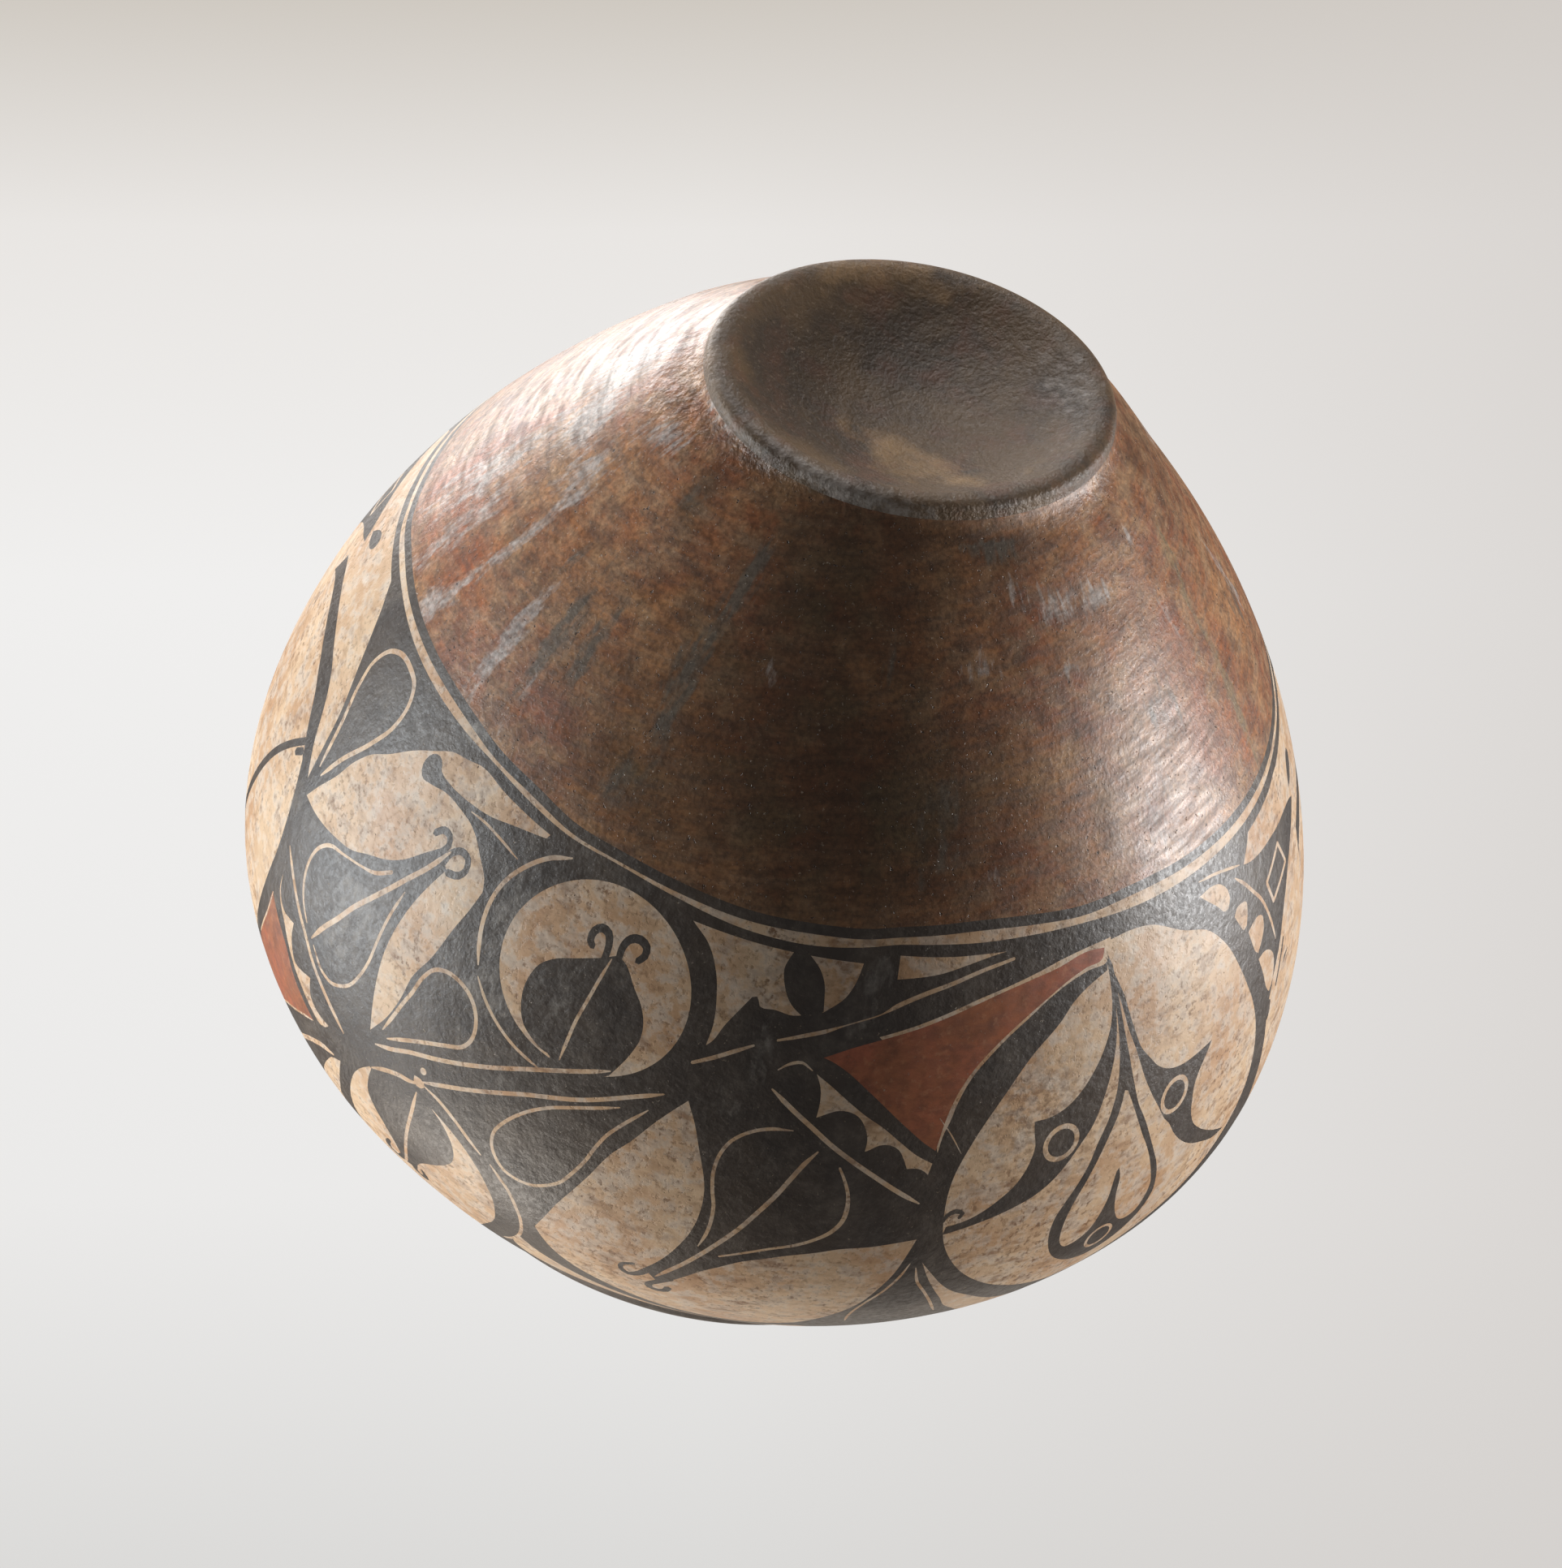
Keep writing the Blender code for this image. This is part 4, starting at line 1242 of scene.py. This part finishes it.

# %% [markdown]
# ## Stone-polished underbody
# Below the framing lines the wet slip was rubbed with a smooth stone. The strokes run round the jar and
# rise a little to one side, and leave faint darker tracks; the lighter tracks along them are painted
# glints. The firing turned the slip from orange to a dark smoky brown that turns olive in places, and ash
# and hard water left mottled grey streaks and a tan drip that run with the wall.

# %% Polished underbody
polished, tree = clay_surface("stone_polished_slip")
ALONG_STROKE = (0.14, 0.14, 1)
strokes = cloud(tree, 1.8, 0.38, 0.68, stretch=ALONG_STROKE, place=tilted(tree))
# Painted glints: pale streaks along the strokes that stand in for the polish catching the light.
painted_glints = cloud(tree, 2.4, 0.52, 0.72, stretch=ALONG_STROKE, place=tilted(tree))
mottle = cloud(tree, 1.5, 0.38, 0.66)
grains = cloud(tree, 1.0, 0.67, 0.75, detail=2)
pits = cloud(tree, 1.4, 0.675, 0.74, detail=2)
lumps = add_node(tree, "ShaderNodeMath", {0: mask_of(tree, "foot_lumps"), 1: cloud(tree, 8, 0.25, 0.75)},
                 operation="MULTIPLY").outputs[0]
build_surface(polished, "#cd9160", [
    ("#a2583a", 0.75, [cloud(tree, 32, 0.40, 0.62)]),
    ("#d0a47a", 0.75, [cloud(tree, 9, 0.44, 0.62)]),
    ("#6d432b", 0.58, [cloud(tree, 7, 0.46, 0.64)]),
    ("#c1693c", 0.85, [ragged(tree, "red_slip_patch", 11, 1, 0.8)]),
    # Pale painted glints along the polishing strokes.
    ("#d2b394", 0.34, [painted_glints]),
    ("#5b3d27", 0.92, [mask_of(tree, "fire_cloud_and_dish_shade"), cloud(tree, 16, 0.0, 0.42)]),
    ("#6a6245", 0.50, [mask_of(tree, "fire_cloud_and_dish_shade"), cloud(tree, 22, 0.48, 0.62)]),
    ("#7b7265", 0.85, [ragged(tree, "grey_smudge", 5, 0.5, 0.45)]),
    ("#a58f6c", 0.75, [ragged(tree, "dried_drip", 3, 0.5, 0.4)]),
    ("#d9cbc2", 0.92, [ragged(tree, "ash_streak", 4, 0.5, 0.4), cloud(tree, 1.6, 0.12, 0.55)]),
    ("#3a2719", 0.46, [strokes]),
    ("#33200f", 0.52, [mottle]),
    ("#d0bda8", 0.45, [grains]),
    ("#2c2019", 0.80, [pits]),
], (0.34, 0.54, strokes), [
    (cloud(tree, 24, 0.2, 0.8, detail=2), 0.35),
    (lumps, 1.2),
    (strokes, 0.025),
    (mottle, 0.045),
    (grains, 0.04),
    (pits, -0.15),
])

# %% [markdown]
# ## Sooted foot
# The foot and its dish were left unpolished and stood in the fire, so the clay is rough, brown and sooty.
# Ochre earth clings in the dish. A pale grey painted sheen lies on one side of the dish, and a painted
# highlight runs along the foot's crest.

# %% Sooted foot
sooted, tree = clay_surface("sooted_rough_clay")
grit = cloud(tree, 1.3, 0.35, 0.70, detail=6)
build_surface(sooted, "#7d6449", [
    ("#574a3f", 0.80, [cloud(tree, 26, 0.42, 0.60)]),
    ("#94634a", 0.45, [cloud(tree, 12, 0.50, 0.70)]),
    # Fire cloud on the foot; on one side of the dish this darkening is painted shade.
    ("#3f342a", 0.50, [mask_of(tree, "fire_cloud_and_dish_shade")]),
    ("#d9ae7c", 0.85, [ragged(tree, "ochre_earth", 9, 1, 1.2)]),
    # Pale grey painted sheen in the dish and painted highlight along the foot's crest.
    ("#b8ada4", 0.75, [ragged(tree, "painted_foot_sheen", 3, 1, 0.6)]),
    ("#b49e88", 0.45, [cloud(tree, 1.4, 0.58, 0.72)]),
    ("#2d2621", 0.85, [cloud(tree, 1.2, 0.69, 0.77, detail=2)]),
], (0.40, 0.62, grit), [
    (cloud(tree, 9, 0.2, 0.8, detail=2), 0.40),
    (cloud(tree, 2.6, 0.3, 0.7, detail=2), 0.08),
    (grit, 0.13),
])

# %% [markdown]
# ## Inner clay
# The inside was scraped with a gourd rind and left bare. It shows scraping rings.

# %% Inner clay
inner, tree = clay_surface("scraped_inner_clay")
scrapes = cloud(tree, 3.0, 0.36, 0.66, stretch=(0.05, 0.05, 1))
build_surface(inner, "#94735a", [
    ("#6b4d3a", 0.70, [cloud(tree, 40, 0.40, 0.62)]),
    ("#b39a80", 0.35, [scrapes]),
    ("#55402f", 0.50, [cloud(tree, 2, 0.60, 0.74)]),
], (0.70, 0.88, scrapes), [
    (scrapes, 0.25),
])

# %% [markdown]
# ## Floor, light and air
# The jar stands on a plain pale floor in soft studio light. The photograph's camera looks from below, so
# the floor is one-sided: seen from underneath it is clear, and it casts no shadow on what is lit through
# it.

# %% Stage
FLOOR_SIZE = 30.0
FLOOR_COLOUR = linear("#dedbd6")
FLOOR_ROUGHNESS = 0.9
FLOOR_GLOW = 0.55
floor_mesh = bmesh.new()
bmesh.ops.create_grid(floor_mesh, x_segments=1, y_segments=1, size=FLOOR_SIZE)
floor_data = bpy.data.meshes.new("floor")
floor_mesh.to_mesh(floor_data)
floor_mesh.free()
floor = bpy.data.objects.new("floor", floor_data)
bpy.context.scene.collection.objects.link(floor)
floor_material = bpy.data.materials.new("matte_floor")
floor_material.use_nodes = True
nodes = floor_material.node_tree.nodes
shader = nodes["Principled BSDF"]
shader.inputs["Base Color"].default_value = FLOOR_COLOUR
shader.inputs["Roughness"].default_value = FLOOR_ROUGHNESS
shader.inputs["Emission Color"].default_value = FLOOR_COLOUR
shader.inputs["Emission Strength"].default_value = FLOOR_GLOW
floor_tree = floor_material.node_tree
clear = add_node(floor_tree, "ShaderNodeBsdfTransparent")
below = add_node(floor_tree, "ShaderNodeNewGeometry").outputs["Backfacing"]
mix = add_node(floor_tree, "ShaderNodeMixShader", {0: below, 1: shader.outputs[0], 2: clear.outputs[0]})
floor_tree.links.new(mix.outputs[0], nodes["Material Output"].inputs[0])
floor_data.materials.append(floor_material)
floor.visible_shadow = False
floor.visible_diffuse = False
floor.visible_glossy = False
print("floor laid,", 2 * FLOOR_SIZE, "m across")

# %% Backdrop
# The backdrop's tones are painted shade: darker towards the top and bottom of the view and on its right side,
# as a lit backdrop falls off.
FILL_STRENGTH = 0.11
BACKDROP_REACH = 0.19
SIDE_START = -0.02
SIDE_SHADE = 0.75
SIDE_COLOUR = linear("#d1ccc8")
BACKDROP_SHADE_TONES = [(0.0, "#d8d7d5"), (0.25, "#ebeae9"), (0.6, "#f0efee"), (0.8, "#e9e6e3"),
            (0.93, "#cfc9c1"), (1.0, "#c8c0b7")]
world = bpy.data.worlds.new("studio")
bpy.context.scene.world = world
world.use_nodes = True
sky = world.node_tree
compass = add_node(sky, "ShaderNodeTexCoord").outputs["Generated"]
upward = add_node(sky, "ShaderNodeVectorMath", {0: compass, 1: tuple(photo_up)}, operation="DOT_PRODUCT")
blend = add_node(sky, "ShaderNodeValToRGB")
raised = add_node(sky, "ShaderNodeMapRange",
                  {"Value": upward.outputs["Value"], "From Min": -BACKDROP_REACH, "From Max": BACKDROP_REACH})
sky.links.new(raised.outputs[0], blend.inputs[0])
for place_up, _ in BACKDROP_SHADE_TONES[1:-1]:
    blend.color_ramp.elements.new(place_up)
for element, (place_up, colour) in zip(blend.color_ramp.elements, BACKDROP_SHADE_TONES):
    element.position = place_up
    element.color = linear(colour)
sideways = add_node(sky, "ShaderNodeVectorMath", {0: compass, 1: tuple(photo_right)}, operation="DOT_PRODUCT")
right_side = add_node(sky, "ShaderNodeMapRange",
                      {"Value": sideways.outputs["Value"], "From Min": SIDE_START,
                       "From Max": BACKDROP_REACH, "To Max": SIDE_SHADE})
shaded = add_node(sky, "ShaderNodeMix", {0: right_side.outputs[0], 6: blend.outputs[0], 7: SIDE_COLOUR},
                  data_type="RGBA")
backdrop = add_node(sky, "ShaderNodeBackground", {"Color": shaded.outputs[2], "Strength": 1.0})
fill_light = add_node(sky, "ShaderNodeBackground", {"Color": (1, 1, 1, 1), "Strength": FILL_STRENGTH})
seen = add_node(sky, "ShaderNodeLightPath").outputs["Is Camera Ray"]
choice = add_node(sky, "ShaderNodeMixShader", {0: seen, 1: fill_light.outputs[0], 2: backdrop.outputs[0]})
sky.links.new(choice.outputs[0], sky.nodes["World Output"].inputs[0])
print("backdrop has", len(blend.color_ramp.elements), "tones")


# %% Softboxes
def softbox(name, right, up, near, distance, size, watts, tint=(1, 1, 1)):
    """A square soft light aimed at the jar. Right, up and near are its direction as the camera sees it."""
    direction = (right * photo_right + up * photo_up - near * ahead).normalized()
    data = bpy.data.lights.new(name, "AREA")
    data.size = size
    data.energy = watts
    data.color = tint
    lamp = bpy.data.objects.new(name, data)
    lamp.location = VIEW_CENTRE + direction * distance
    lamp.rotation_euler = direction.to_track_quat("Z", "Y").to_euler()
    lamp.visible_camera = False
    bpy.context.scene.collection.objects.link(lamp)


softbox("right_softbox", 0.98, -0.10, -0.10, 1.4, 0.55, 19.5)
softbox("left_softbox", -0.98, -0.03, 0.0, 1.5, 1.0, 23, (0.90, 0.96, 1.0))
softbox("back_softbox", -0.38, 0.68, -0.60, 1.5, 0.9, 19)
softbox("top_softbox", -0.05, 1.0, 0.0, 1.5, 1.0, 10)
softbox("low_left_softbox", -0.65, -0.72, -0.20, 1.6, 0.8, 13, (1.0, 0.93, 0.84))
softbox("overhead_softbox", 0, -0.714, -0.667, 1.6, 1.2, 3, (1.0, 0.90, 0.78))
bpy.context.scene.view_settings.view_transform = "Standard"
print(len(bpy.data.lights), "softboxes")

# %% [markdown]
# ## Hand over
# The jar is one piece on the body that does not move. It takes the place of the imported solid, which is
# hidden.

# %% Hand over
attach(jar, "root")
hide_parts("olla")
